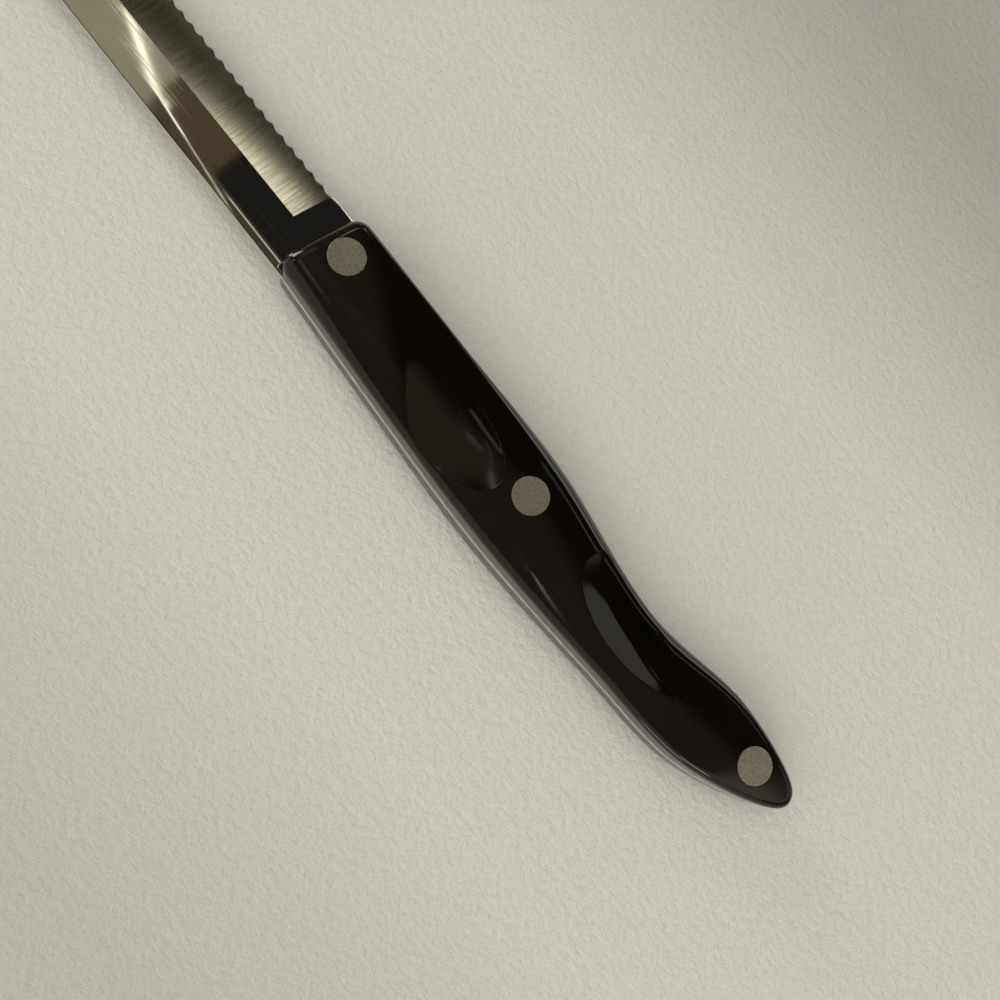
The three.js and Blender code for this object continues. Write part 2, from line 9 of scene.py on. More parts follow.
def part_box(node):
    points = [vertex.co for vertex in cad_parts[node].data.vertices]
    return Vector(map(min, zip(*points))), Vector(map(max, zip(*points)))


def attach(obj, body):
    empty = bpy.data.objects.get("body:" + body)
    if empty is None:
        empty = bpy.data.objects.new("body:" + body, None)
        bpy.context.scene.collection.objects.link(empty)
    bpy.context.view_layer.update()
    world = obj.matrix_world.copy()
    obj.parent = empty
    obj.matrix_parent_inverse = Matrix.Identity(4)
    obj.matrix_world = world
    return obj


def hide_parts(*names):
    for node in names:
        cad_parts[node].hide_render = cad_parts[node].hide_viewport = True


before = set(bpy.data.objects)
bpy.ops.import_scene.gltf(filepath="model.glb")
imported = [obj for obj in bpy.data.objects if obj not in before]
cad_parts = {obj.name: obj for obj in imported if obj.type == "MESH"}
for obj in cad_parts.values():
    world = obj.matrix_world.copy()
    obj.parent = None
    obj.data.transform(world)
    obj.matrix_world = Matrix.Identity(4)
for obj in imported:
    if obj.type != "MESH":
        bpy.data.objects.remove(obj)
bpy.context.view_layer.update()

bl_info = {
    "name": "Carving Knife",
    "version": (1, 0, 0),
    "blender": (4, 5, 0),
    "location": "3D View > Sidebar > Knife",
    "description": "Dresses a slim carving knife: ground blade, moulded scales, cutler's rivets",
    "category": "Add Mesh",
}

MM = 0.001
RIVETS = ("front", "middle", "rear")
SMOOTH_ANGLE = math.radians(35)
LEVEL_TOUCH = 1e-6


def size(name, text, millimetres):
    return FloatProperty(name=name, description=text, default=millimetres * MM, unit="LENGTH", precision=5)


def sizes(name, text, *millimetres):
    return FloatVectorProperty(
        name=name, description=text, default=[value * MM for value in millimetres],
        size=len(millimetres), unit="LENGTH", precision=5,
    )


def number(name, text, value):
    return FloatProperty(name=name, description=text, default=value)


def angle(name, text, degrees):
    return FloatProperty(name=name, description=text, default=math.radians(degrees), unit="ROTATION")


def colour(name, text, red, green, blue):
    return FloatVectorProperty(
        name=name, description=text, default=(red, green, blue, 1), size=4, subtype="COLOR", min=0, max=1,
    )


class KnifeBladeSizes(bpy.types.PropertyGroup):
    length: size("Length", "Front of the scales to the point", 203)
    thickness: size("Thickness", "Stock of the blade", 1.8)
    edge_drop: size("Edge drop", "Straight cutting edge below the rivet line", 6.7)
    spine_rise: size("Spine rise", "Spine above the rivet line at the scales", 9.9)
    spine_before_tip: size("Spine before tip", "Spine above the rivet line where the tip begins", 8.2)
    tip_length: size("Tip length", "Stretch in which edge and spine run to the point", 46)
    tip_rise: size("Tip rise", "The point above the straight edge", 8.6)
    edge_reach: size("Edge reach", "How far the edge's line is held into the tip", 30)
    spine_reach: size("Spine reach", "How far the spine's line is held into the tip", 26)
    ricasso: size("Ricasso", "Unground steel between the scales and the grind", 5.6)
    ricasso_ease: sizes("Ricasso ease", "Breadth and drop of the bevels on the ricasso's lower corners",
                        0.45, 0.18)
    tang_overlap: size("Tang overlap", "How far the blade's bar runs into the tang", 12)
    tang_relief: size("Tang relief", "Steel taken off each side of the tang", 0.1)
    grind_height: size("Grind height", "Edge to grind line", 8)
    grind_step: size("Grind step", "Drop from the flat to the grind at its line", 0.14)
    grind_hollow: size("Grind hollow", "Depth of the hollow below a straight taper", 0.12)
    edge_thickness: size("Edge thickness", "Steel left at the cutting edge", 0.5)
    tooth_pitch: size("Tooth pitch", "From scallop to scallop", 2.8)
    tooth_depth: size("Tooth depth", "Depth of a scallop", 0.52)
    tooth_tilt: angle("Tooth tilt", "Lean of each scallop, so it bevels the upper side", 45)
    plain_tip: size("Plain tip", "Stretch without scallops before the point", 12)
    roll_width: size("Roll width", "Band along the spine that buffing has rolled over", 2.8)
    roll_drop: size("Roll drop", "How far the rolled band falls at the spine", 0.16)
    roll_corner: size("Roll corner", "Radius of the spine's own corners", 0.14)


class KnifeHandleSizes(bpy.types.PropertyGroup):
    stations: sizes("Stations", "Front, thumb, swell, waist, heel and butt behind the front",
                    0, 30, 57.6, 88, 111, 129.4)
    spine: sizes("Spine", "Spine above the rivet line, front to heel", 9.9, 11.75, 12.95, 11.7, 9.75)
    belly: sizes("Belly", "Belly below the rivet line, front to heel", 7.5, 7.15, 7.35, 3.75, 6.35)
    butt_drop: size("Butt drop", "End of the butt below the rivet line", 0.8)
    nose_radius: size("Nose radius", "Roundness of the butt's end", 3)
    nose_spread: angle("Nose spread", "How far the round nose goes to each side", 60)
    front_slant: angle("Front slant", "Lean of the front to the point at the spine", 7.4)
    corners: sizes("Corners", "Radius of the front corners, belly and spine", 3.1, 2.6)
    crown: sizes("Crown", "Height of the crown above the tang at the stations", 5.9, 5.5, 6.2, 5, 4.9, 3.3)
    crown_radius: sizes("Crown radius", "Roundness of the crown across the handle, belly and spine side",
                        55, 26)
    crown_lean: number("Crown lean", "Rise of the face towards the spine", 0.06)
    spine_round: sizes("Spine round", "Rounding of the spine edge at the stations",
                       2.1, 1.1, 1.1, 1.1, 1.1, 1.5)
    belly_round: sizes("Belly round", "Rounding of the belly edge at the stations",
                       2.1, 1.2, 3.4, 3.2, 1.8, 1.5)
    least_wall: size("Least wall", "Upright wall left under a rounding", 0.5)
    bond_gap: size("Bond gap", "Between tang and scale", 0.05)
    buffed: size("Buffed", "Taken off the face by buffing", 0.01)
    inset: size("Inset", "Taken off the sides by buffing", 0.003)
    scoop_rim: size("Scoop rim", "Height over which the rim of a scoop is rounded", 0.05)
    scoop_valley: sizes("Scoop valley",
                        "Height over which the slopes of the thumb and palm scoops flow together", 0.4, 0.3)
    thumb_centre: sizes("Thumb scoop centre", "Behind the front and above the rivet line", 37.62, 5.03)
    thumb_reach: sizes("Thumb scoop reach", "Half its length and half its width", 15.4, 7.04)
    thumb_depth: size("Thumb scoop depth", "Depth of its bowl below the crown", 1.4)
    thumb_crease: sizes("Thumb scoop crease",
                        "Its sharp side, as pairs behind the front and above the rivet line",
                        23.7, 2, 32.1, 8.5, 37.3, 11.4, 39.4, 12.3, 46, 13)
    thumb_fall: number("Thumb scoop fall", "Rise to the spine beside its crease", 0.02)
    # The thumb scoop's lighter brown is handling wear together with a painted brown reflection
    thumb_dull_and_painted_reflection: sizes("Thumb scoop dulling",
                      "Start above the rivet line and breadth, then start and end behind the front, "
                      "each with its fading", 0.3, 5, 22, 4, 53, 9)
    # The film is partly a handling film and partly a painted brown reflection on the spine side of the face
    film_and_reflection_line: sizes("Film line",
                     "Where the film of handling begins, as pairs behind the front and above the "
                     "rivet line",
                     0, -6, 9, -3, 16, 0.5, 22, 4, 28, 6.5, 38, 9.5,
                     50, 1.5, 60, 1, 75, 4, 90, 4, 105, 3, 129.4, 0)
    film_and_reflection_breadth: size("Film breadth", "Over which the film of handling fades in", 5)
    film_and_painted_reflection: number("Film", "Share of the dulling that the film brings", 0.55)
    palm_centre: sizes("Palm scoop centre", "Behind the front and above the rivet line", 87.74, -0.13)
    palm_reach: sizes("Palm scoop reach", "Half its length and half its width", 15.58, 7.55)
    palm_depth: size("Palm scoop depth", "Depth of its bowl below the crown", 1.3)
    palm_crease: sizes("Palm scoop crease",
                       "Its sharp side, as pairs behind the front and above the rivet line",
                       72, -3.8, 80, -3.5, 87.7, -3, 93.2, -1.4, 102.4, 2.6)
    palm_fall: number("Palm scoop fall", "Rise to the spine beside its crease", -0.065)


class KnifeRivetSizes(bpy.types.PropertyGroup):
    head: size("Head", "Diameter of each head", 7)
    socket: size("Socket", "Diameter of the socket's tube", 4.6)
    post: size("Post", "Diameter of the post's pin", 3)
    seat: size("Seat", "Underside of each head above the tang", 1.8)
    end_gap: size("End gap", "From the post's end to the bottom of its socket", 0.4)
    clearance: size("Clearance", "Room round heads, tubes and pins", 0.1)
    eased: size("Eased edge", "Rounding of the head's rim", 0.12)


class KnifeFinishes(bpy.types.PropertyGroup):
    steel: colour("Steel", "Polished blade steel", 0.62, 0.60, 0.54)
    ground: colour("Ground steel", "Satin steel of the hollow grind", 0.58, 0.56, 0.49)
    # Painted shade and dark reflection: the scallops' steel is written nearly black, standing in for the
    # shadow under the blade that their bevels mirror
    scallop: colour("Scallop steel in painted shade", "Steel with painted shade and dark reflection in the scallops", 0.04, 0.036, 0.03)
    resin: colour("Resin", "Dark brown resin of the scales", 0.0012, 0.0008, 0.0005)
    resin_warm: colour("Resin, warm", "Lighter brown in the resin's depth", 0.0036, 0.0023, 0.0014)
    # Lighter brown for the thumb scoop and the spine side: handling wear together with a painted brown
    # reflection
    resin_worn_and_painted_reflection: colour("Resin, worn", "Dulled resin where the thumb rests", 0.0125, 0.0094, 0.0065)
    rivet: colour("Rivet", "Nickel silver of the rivets", 0.68, 0.65, 0.55)
    rivet_dull: colour("Rivet, dull", "Tarnish on the rivets", 0.42, 0.40, 0.315)
    floor: colour("Floor", "Pale sheet under the knife", 0.575, 0.555, 0.503)


class KnifeSettings(bpy.types.PropertyGroup):
    blade: PointerProperty(name="Blade", description="Sizes of the blade", type=KnifeBladeSizes)
    handle: PointerProperty(name="Handle", description="Sizes of the scales", type=KnifeHandleSizes)
    rivet: PointerProperty(name="Rivets", description="Sizes of the rivets", type=KnifeRivetSizes)
    finish: PointerProperty(name="Finishes", description="Colours of the knife", type=KnifeFinishes)


# The knife is drawn in millimetres from the front of the scales, on the line of the front and rear
# rivets and in the middle of the blade's thickness, and is then put where the frame has it.

def in_mm(lengths):
    return np.array(lengths) / MM


def drawing_origin(blade):
    low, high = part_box("blade_and_tang")
    rivet_low, rivet_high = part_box("front_rivet_post")
    return np.array([high.x - blade.length, (rivet_low.y + rivet_high.y) / 2, (low.z + high.z) / 2])


def rivet_place(name, origin):
    low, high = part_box(f"{name}_rivet_post")
    return (np.array(low + high) / 2 - origin)[:2] / MM


class HandleForm:
    """The handle's plan and the height of a scale above the middle of the blade."""

    def __init__(self, handle, blade):
        self.stations = in_mm(handle.stations)
        self.spine = in_mm(handle.spine)
        self.belly = in_mm(handle.belly)
        self.butt_drop = in_mm(handle.butt_drop)
        self.nose_radius = in_mm(handle.nose_radius)
        self.nose_spread = handle.nose_spread
        self.front_slope = math.tan(handle.front_slant)
        self.corners = in_mm(handle.corners)
        self.base = in_mm(blade.thickness / 2 - blade.tang_relief + handle.bond_gap)
        self.middle_at = self.course(np.append((self.spine - self.belly) / 2, -self.butt_drop))
        self.crown_at = self.course(in_mm(handle.crown))
        self.spine_round_at = self.course(in_mm(handle.spine_round))
        self.belly_round_at = self.course(in_mm(handle.belly_round))
        self.crown_radius = in_mm(handle.crown_radius)
        self.crown_lean = handle.crown_lean
        self.least_wall = in_mm(handle.least_wall)
        self.buffed = in_mm(handle.buffed)
        self.inset = in_mm(handle.inset)
        self.rim = in_mm(handle.scoop_rim)
        self.dull_from, self.dull_over, *self.dull_and_reflection_ends = in_mm(handle.thumb_dull_and_painted_reflection)
        film_and_painted_reflection = in_mm(handle.film_and_reflection_line).reshape(-1, 2)
        self.film_and_reflection_at = self.course(film_and_painted_reflection[:, 1], film_and_painted_reflection[:, 0])
        self.film_and_reflection_over = in_mm(handle.film_and_reflection_breadth)
        self.film_and_painted_reflection = handle.film_and_painted_reflection
        thumb_valley, palm_valley = in_mm(handle.scoop_valley)
        self.scoops = [
            self.scoop(handle.thumb_centre, handle.thumb_reach, handle.thumb_depth, handle.thumb_crease,
                       handle.thumb_fall, thumb_valley),
            self.scoop(handle.palm_centre, handle.palm_reach, handle.palm_depth, handle.palm_crease,
                       handle.palm_fall, palm_valley),
        ]

    def course(self, values, stations=None):
        """A smooth course through one value per station, as a function of X. Beyond its ends it is level
        with the handle's own stations, and runs on straight with others."""
        runs_on = stations is not None
        stations = stations if runs_on else self.stations
        last = len(stations) - 1
        before = np.maximum(np.arange(last + 1) - 1, 0)
        after = np.minimum(np.arange(last + 1) + 1, last)
        slopes = (values[after] - values[before]) / (stations[after] - stations[before])

        def value_at(x):
            distance = -np.asarray(x, float)
            inside = np.clip(distance, stations[0], stations[-1])
            i = np.clip(np.searchsorted(stations, inside, side="right") - 1, 0, last - 1)
            span = stations[i + 1] - stations[i]
            t = (inside - stations[i]) / span
            rise = t * t * (3 - 2 * t)
            lead = t * (1 - t) ** 2 * slopes[i] * span
            trail = t * t * (1 - t) * slopes[i + 1] * span
            value = values[i] + (values[i + 1] - values[i]) * rise + lead - trail
            if runs_on:
                slope = np.where(distance < stations[0], slopes[0], slopes[-1])
                value = value + (distance - inside) * slope
            return value

        return value_at

    def on_front(self, height):
        return np.array([height * self.front_slope, height])

    def corner(self, place, first, second, radius, steps=60):
        """A round corner between two sides, which leave the corner in the given directions."""
        half = math.acos(first @ second) / 2
        middle = (first + second) / np.linalg.norm(first + second)
        centre = place + middle * radius / math.sin(half)
        start = place + first * radius / math.tan(half) - centre
        end = place + second * radius / math.tan(half) - centre
        begin = math.atan2(start[1], start[0])
        sweep = (math.atan2(end[1], end[0]) - begin) % (2 * math.pi)
        turn = begin + sweep * np.linspace(0, 1, steps + 1)
        return centre + radius * np.column_stack([np.cos(turn), np.sin(turn)])

    def outline(self, count):
        """The handle in plan, anticlockwise from the middle of its front, with the butt at half the count."""
        up = self.on_front(1) / np.linalg.norm(self.on_front(1))
        back = np.array([-1.0, 0.0])
        belly_bend = self.corner(self.on_front(-self.belly[0]), back, up, self.corners[0])
        spine_bend = self.corner(self.on_front(self.spine[0]), -up, back, self.corners[1])
        nose_x = self.nose_radius * (1 - math.cos(self.nose_spread)) - self.stations[-1]
        nose_y = self.nose_radius * math.sin(self.nose_spread)
        knots = [spine_bend[-1]]
        knots += [(-x, y) for x, y in zip(self.stations[1:5], self.spine[1:])]
        knots += [(nose_x, nose_y - self.butt_drop), (-self.stations[-1], -self.butt_drop)]
        knots += [(nose_x, -nose_y - self.butt_drop)]
        knots += [(-x, -y) for x, y in zip(self.stations[4:0:-1], self.belly[:0:-1])]
        knots += [belly_bend[0]]
        course = smooth_curve(np.array(knots))
        butt = np.argmin(course[:, 0])
        front = (belly_bend[-1] + spine_bend[0]) / 2
        spine_side = np.vstack([front, spine_bend, course[1:butt + 1]])
        belly_side = np.vstack([course[butt:-1], belly_bend, front])
        plan = np.vstack([even_steps(spine_side, count // 2), even_steps(belly_side, count // 2)])
        return plan + inward_of(plan) * self.inset

    def scoop(self, centre, reach, depth, crease, fall, valley):
        """An oval bowl in the face, cut short on one side by a slope that rises to a crease."""
        points = np.array(crease).reshape(-1, 2) / MM
        crease_at = self.course(points[:, 1], points[:, 0])

        def slopes_at(x, y):
            along = (x + centre[0] / MM) * MM / reach[0]
            across = (y - centre[1] / MM) * MM / reach[1]
            bowl = self.face(x, y) - depth / MM * (1 - along * along - across * across)
            edge = crease_at(x)
            slope = self.face(x, edge) + fall * (y - edge)
            return bowl, slope, valley

        return slopes_at

    def face(self, x, y):
        across = y - self.middle_at(x)
        dome = across * across / (2 * np.where(across < 0, *self.crown_radius))
        return self.base + self.crown_at(x) + self.crown_lean * across - dome - self.buffed

    def height(self, x, y):
        """The finished face: the crown with its scoops, their rims rounded over."""
        level = self.face(x, y)
        for scoop in self.scoops:
            bowl, slope, valley = scoop(x, y)
            near = np.clip(valley - np.abs(bowl - slope), 0, None)
            floor = np.maximum(bowl, slope) + near * near / (4 * valley)
            near = np.clip(self.rim - np.abs(level - floor), 0, None)
            level = np.minimum(level, floor) - near * near / (4 * self.rim)
        return level

    def wear_and_painted_reflection(self, x, y):
        """How far the face is worn by handling and carries a painted brown reflection, from 0 to 1: in the
        thumb scoop and towards the spine.
        """
        sunk = []
        for scoop in self.scoops:
            bowl, slope, _ = scoop(x, y)
            sunk.append(np.clip((self.face(x, y) - np.maximum(bowl, slope)) / self.rim, 0, 1))
        scooped = eased_share((y - self.dull_from) / self.dull_over) * sunk[0]
        front, front_fade, end, end_fade = self.dull_and_reflection_ends
        scooped = scooped * eased_share((-x - front) / front_fade) * eased_share((x + end) / end_fade)
        film_and_painted_reflection = eased_share((y - self.film_and_reflection_at(x)) / self.film_and_reflection_over + 0.5)
        return scooped + self.film_and_painted_reflection * film_and_painted_reflection * (1 - sunk[0]) * (1 - sunk[1])

    def scale_rings(self, count, round_steps, face_steps, ends):
        """Rings from the foot of the wall, over the rounded edge, to a line between the end rivets."""
        plan = self.outline(count)
        inward = inward_of(plan)
        x, y = plan.T
        wanted = np.where(y > self.middle_at(x), self.spine_round_at(x), self.belly_round_at(x))
        radius = np.minimum(wanted, self.height(x, y) - self.base - self.least_wall)
        rings = [np.column_stack([plan, np.full(count, self.base)])]
        for turn in np.linspace(0, math.pi / 2, round_steps + 1):
            place = plan + inward * (radius * (1 - math.cos(turn)))[:, None]
            level = self.height(*place.T) - radius * (1 - math.sin(turn))
            rings.append(np.column_stack([place, level]))
        rim = rings[-1][:, :2]
        opposite = (x + np.roll(x[::-1], 1)) / 2
        middle = np.clip(opposite, *ends)
        middle = np.column_stack([middle, self.middle_at(middle)])
        for share in np.linspace(0, 1, face_steps + 1)[1:]:
            place = rim + (middle - rim) * share
            rings.append(np.column_stack([place, self.height(*place.T)]))
        return rings


def eased_share(value):
    share = np.clip(value, 0, 1)
    return share * share * (3 - 2 * share)


def smooth_curve(knots, steps=240):
    """A centripetal curve through the knots."""
    first = 2 * knots[0] - knots[1]
    last = 2 * knots[-1] - knots[-2]
    points = np.vstack([first, knots, last])
    course = [knots[:1]]
    t = np.linspace(0, 1, steps + 1)[1:, None]
    for p0, p1, p2, p3 in zip(points, points[1:], points[2:], points[3:]):
        d0, d1, d2 = (np.sqrt(np.linalg.norm(b - a)) for a, b in ((p0, p1), (p1, p2), (p2, p3)))
        out = ((p1 - p0) / d0 - (p2 - p0) / (d0 + d1) + (p2 - p1) / d1) * d1
        into = ((p2 - p1) / d1 - (p3 - p1) / (d1 + d2) + (p3 - p2) / d2) * d1
        hermite = (2 * p1 - 2 * p2 + out + into) * t ** 3 + (3 * p2 - 3 * p1 - 2 * out - into) * t ** 2
        course.append(hermite + out * t + p1)
    return np.vstack(course)


def inward_of(plan):
    """Directions into an anticlockwise plan at its points."""
    along = np.roll(plan, -1, 0) - np.roll(plan, 1, 0)
    along /= np.linalg.norm(along, axis=1)[:, None]
    return np.column_stack([-along[:, 1], along[:, 0]])


def even_steps(course, count):
    """A course again, as points at even distances and without its end."""
    walked = np.append(0, np.cumsum(np.linalg.norm(np.diff(course, axis=0), axis=1)))
    wanted = np.linspace(0, walked[-1], count, endpoint=False)
    return np.column_stack([np.interp(wanted, walked, course[:, k]) for k in (0, 1)])


def quadratic(start, hold, end, t):
    t = np.asarray(t)[:, None]
    return start * (1 - t) ** 2 + 2 * hold * t * (1 - t) + end * t * t


class BladeForm:
    """The blade in plan: its cutting edge and its spine."""

    run_back = 60

    def __init__(self, blade):
        self.half = in_mm(blade.thickness / 2)
        self.heel = in_mm([blade.ricasso, -blade.edge_drop])
        self.bend = in_mm([blade.length - blade.tip_length, -blade.edge_drop])
        self.point = in_mm([blade.length, blade.tip_rise - blade.edge_drop])
        self.edge_hold = self.bend + in_mm([blade.edge_reach, 0])
        self.spine_start = in_mm([0, blade.spine_rise])
        self.spine_bend = np.array([self.bend[0], in_mm(blade.spine_before_tip)])
        slope = (self.spine_bend[1] - self.spine_start[1]) / self.spine_bend[0]
        self.spine_hold = self.spine_bend + np.array([1, slope]) * in_mm(blade.spine_reach)

    def edge_curve(self, steps):
        return quadratic(self.bend, self.edge_hold, self.point, np.linspace(0, 1, steps + 1))

    def spine_curve(self, steps):
        return quadratic(self.point, self.spine_hold, self.spine_bend, np.linspace(0, 1, steps + 1))

    def outline(self, overlap, steps=48):
        foot = np.array([[-overlap, self.heel[1]]])
        head = np.array([[-overlap, self.spine_start[1]]])
        return np.vstack([foot, self.edge_curve(steps), self.spine_curve(steps)[1:], head])

    def teeth(self, pitch, plain_tip, steps=800):
        """Place and heading of each scallop along the cutting edge."""
        course = np.vstack([self.heel, self.edge_curve(steps)])
        walked = np.append(0, np.cumsum(np.linalg.norm(np.diff(course, axis=0), axis=1)))
        middles = np.arange(pitch / 2, walked[-1] - plain_tip, pitch)
        heading = np.gradient(course, walked, axis=0)
        heading[0] = heading[1] = (1, 0)
        place = np.column_stack([np.interp(middles, walked, course[:, k]) for k in (0, 1)])
        turn = np.interp(middles, walked, np.arctan2(heading[:, 1], heading[:, 0]))
        return place, turn

    def from_edge(self, places, steps=400):
        """Distance of each place from the cutting edge, which is taken to run on behind the heel."""
        course = np.vstack([self.heel - [self.run_back, 0], self.heel, self.edge_curve(steps)])
        nearest = np.full(len(places), np.inf)
        for a, b in zip(course, course[1:]):
            run = b - a
            t = np.clip(((places - a) @ run) / (run @ run), 0, 1)
            nearest = np.minimum(nearest, np.linalg.norm(places - a - t[:, None] * run, axis=1))
        return nearest


# Modelling

def begin():
    if bpy.context.object is not None and bpy.context.object.mode != "OBJECT":
        bpy.ops.object.mode_set(mode="OBJECT")
    bpy.ops.object.select_all(action="DESELECT")


def take(piece):
    begin()
    piece.select_set(True)
    bpy.context.view_layer.objects.active = piece


def pick(piece, wanted):
    """Opens a piece for editing with just these vertices selected."""
    take(piece)
    mesh = piece.data
    mesh.polygons.foreach_set("select", np.zeros(len(mesh.polygons), bool))
    mesh.edges.foreach_set("select", np.zeros(len(mesh.edges), bool))
    mesh.vertices.foreach_set("select", np.asarray(wanted, bool))
    bpy.ops.object.mode_set(mode="EDIT")
    bpy.ops.mesh.select_mode(type="VERT")


def places_of(piece):
    places = np.empty(len(piece.data.vertices) * 3, np.float32)
    piece.data.vertices.foreach_get("co", places)
    return places.reshape(-1, 3).astype(float)


def put(piece, places):
    piece.data.vertices.foreach_set("co", np.asarray(places, np.float32).ravel())
    piece.data.update()


def face_outwards():
    """Turns all faces of the mesh that is open for editing outwards, and closes it."""
    bpy.ops.mesh.select_all(action="SELECT")
    bpy.ops.mesh.normals_make_consistent(inside=False)
    bpy.ops.object.mode_set(mode="OBJECT")


def draw_in(share, centre=(0, 0, 0)):
    """Extrudes the selected faces on the spot and narrows them about an upright axis."""
    bpy.ops.mesh.extrude_region_move(TRANSFORM_OT_translate={"value": (0, 0, 0)})
    bpy.ops.transform.resize(value=(share, share, 1), center_override=centre)


def ring_stack(name, rings, origin, meets=False):
    """A circle is extruded once per ring and the rings are laid in place. The last one is filled, or
    meets in a line."""
    begin()
    count = len(rings[0])
    bpy.ops.mesh.primitive_circle_add(vertices=count, radius=MM)
    piece = bpy.context.object
    piece.name = piece.data.name = name
    bpy.ops.object.mode_set(mode="EDIT")
    bpy.ops.mesh.select_all(action="SELECT")
    for _ in rings[1:]:
        bpy.ops.mesh.extrude_edges_move(TRANSFORM_OT_translate={"value": (0, 0, MM)})
    bpy.ops.object.mode_set(mode="OBJECT")
    put(piece, np.concatenate(rings) * MM + origin)
    piece.location = (0, 0, 0)
    which = np.repeat(np.arange(len(rings)), count)
    pick(piece, which == 0)
    bpy.ops.mesh.edge_face_add()
    pick(piece, which == len(rings) - 1)
    if meets:
        bpy.ops.mesh.remove_doubles(threshold=LEVEL_TOUCH)
    else:
        bpy.ops.mesh.edge_face_add()
    face_outwards()
    return piece


def plate(name, outline, bottom, top, origin):
    rings = [np.column_stack([outline, np.full(len(outline), level)]) for level in (bottom, top)]
    return ring_stack(name, rings, origin)


def join_cut(piece, tool, operation="DIFFERENCE"):
    take(piece)
    bpy.ops.object.modifier_add(type="BOOLEAN")
    cut = piece.modifiers[-1]
    cut.operation = operation
    cut.solver = "EXACT"
    cut.object = tool
    bpy.ops.object.modifier_apply(modifier=cut.name)
    mesh = tool.data
    bpy.data.objects.remove(tool)
    bpy.data.meshes.remove(mesh)
    if len(piece.data.polygons) == 0:
        raise RuntimeError(f"{piece.name}: the {operation.lower()} left nothing")


def mirrored(piece, name, level):
    """A copy with its own mesh, seen in the level plane."""
    take(piece)
    bpy.ops.object.duplicate()
    copy = bpy.context.object
    copy.name = copy.data.name = name
    bpy.ops.object.mode_set(mode="EDIT")
    bpy.ops.mesh.select_all(action="SELECT")
    bpy.ops.transform.resize(value=(1, 1, -1), center_override=(0, 0, level))
    face_outwards()
    return copy


def bar_tool(name, bars, sides):
    """Round bars in one mesh, each given by middle, radius, length and rotation."""
    begin()
    for i, (middle, radius, length, rotation) in enumerate(bars):
        if i == 1:
            bpy.ops.object.mode_set(mode="EDIT")
        bpy.ops.mesh.primitive_cylinder_add(
            vertices=sides, radius=radius, depth=length, location=middle, rotation=rotation,
        )
        if i == 0:
            bpy.ops.object.transform_apply(location=True, rotation=True, scale=True)
    begin()
    tool = bpy.context.object
    tool.name = name
    return tool


def rivet_bores(radius, bottom, top, origin, sides=96):
    """An upright bar at each rivet, from level to level."""
    bars = []
    for name in RIVETS:
        x, y = rivet_place(name, origin) * MM + origin[:2]
        bars.append(((x, y, (bottom + top) / 2), radius, top - bottom, (0, 0, 0)))
    return bar_tool("rivet_bores", bars, sides)


def dress(piece, slot, node, *materials):
    """Finishes a piece: its materials, its body and the solid that it stands for. The slot is not used."""
    for material in materials:
        piece.data.materials.append(material)
    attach(piece, "root")
    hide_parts(node)


# Finishes

def new_group(name, inputs, output):
    """A node group, the sockets of what it is given and the socket of its one output."""
    group = bpy.data.node_groups.new(name, "ShaderNodeTree")
    for label, kind, value in inputs:
        socket = group.interface.new_socket(label, in_out="INPUT", socket_type=f"NodeSocket{kind}")
        if value is not None:
            socket.default_value = value
    group.interface.new_socket(output, in_out="OUTPUT", socket_type="NodeSocketFloat")
    given = group.nodes.new("NodeGroupInput")
    out = group.nodes.new("NodeGroupOutput")
    return group, given.outputs, out.inputs[output]


def set_or_link(tree, socket, value):
    if isinstance(value, bpy.types.NodeSocket):
        tree.links.new(value, socket)
    else:
        socket.default_value = value


def node(tree, kind, links=(), **values):
    """A node with its settings, its plain socket values and its incoming links."""
    made = tree.nodes.new(kind)
    for key, value in values.items():
        if hasattr(made, key):
            setattr(made, key, value)
        else:
            made.inputs[key.replace("_", " ")].default_value = value
    for socket, source in links:
        tree.links.new(source, made.inputs[socket])
    return made


def reckon(tree, operation, *values, kind="ShaderNodeMath"):
    made = node(tree, kind, operation=operation)
    for socket, value in zip(made.inputs, values):
        set_or_link(tree, socket, value)
    return made.outputs[0]


def spread(tree, value, **ends):
    """A value, carried over from one range to another."""
    return node(tree, "ShaderNodeMapRange", [("Value", value)], **ends).outputs[0]


def blend(tree, share, first, second, blend_type="MIX"):
    """Two colours mixed by a share, in the mixing node's sockets for colours."""
    made = node(tree, "ShaderNodeMix", data_type="RGBA", blend_type=blend_type)
    for socket, value in ((0, share), (6, first), (7, second)):
        set_or_link(tree, made.inputs[socket], value)
    return made.outputs[2]


def relief(tree, height, strength, distance):
    bump = node(tree, "ShaderNodeBump", [("Height", height)], Strength=strength, Distance=distance)
    return bump.outputs["Normal"]


def use(tree, group, vector, **values):
    """A group put to use, as its output."""
    made = tree.nodes.new("ShaderNodeGroup")
    made.node_tree = group
    tree.links.new(vector, made.inputs["Vector"])
    for key, value in values.items():
        made.inputs[key.replace("_", " ")].default_value = value
    return made.outputs[0]


def feed(tree, shader, **sockets):
    for key, value in sockets.items():
        set_or_link(tree, shader.inputs[key.replace("_", " ")], value)


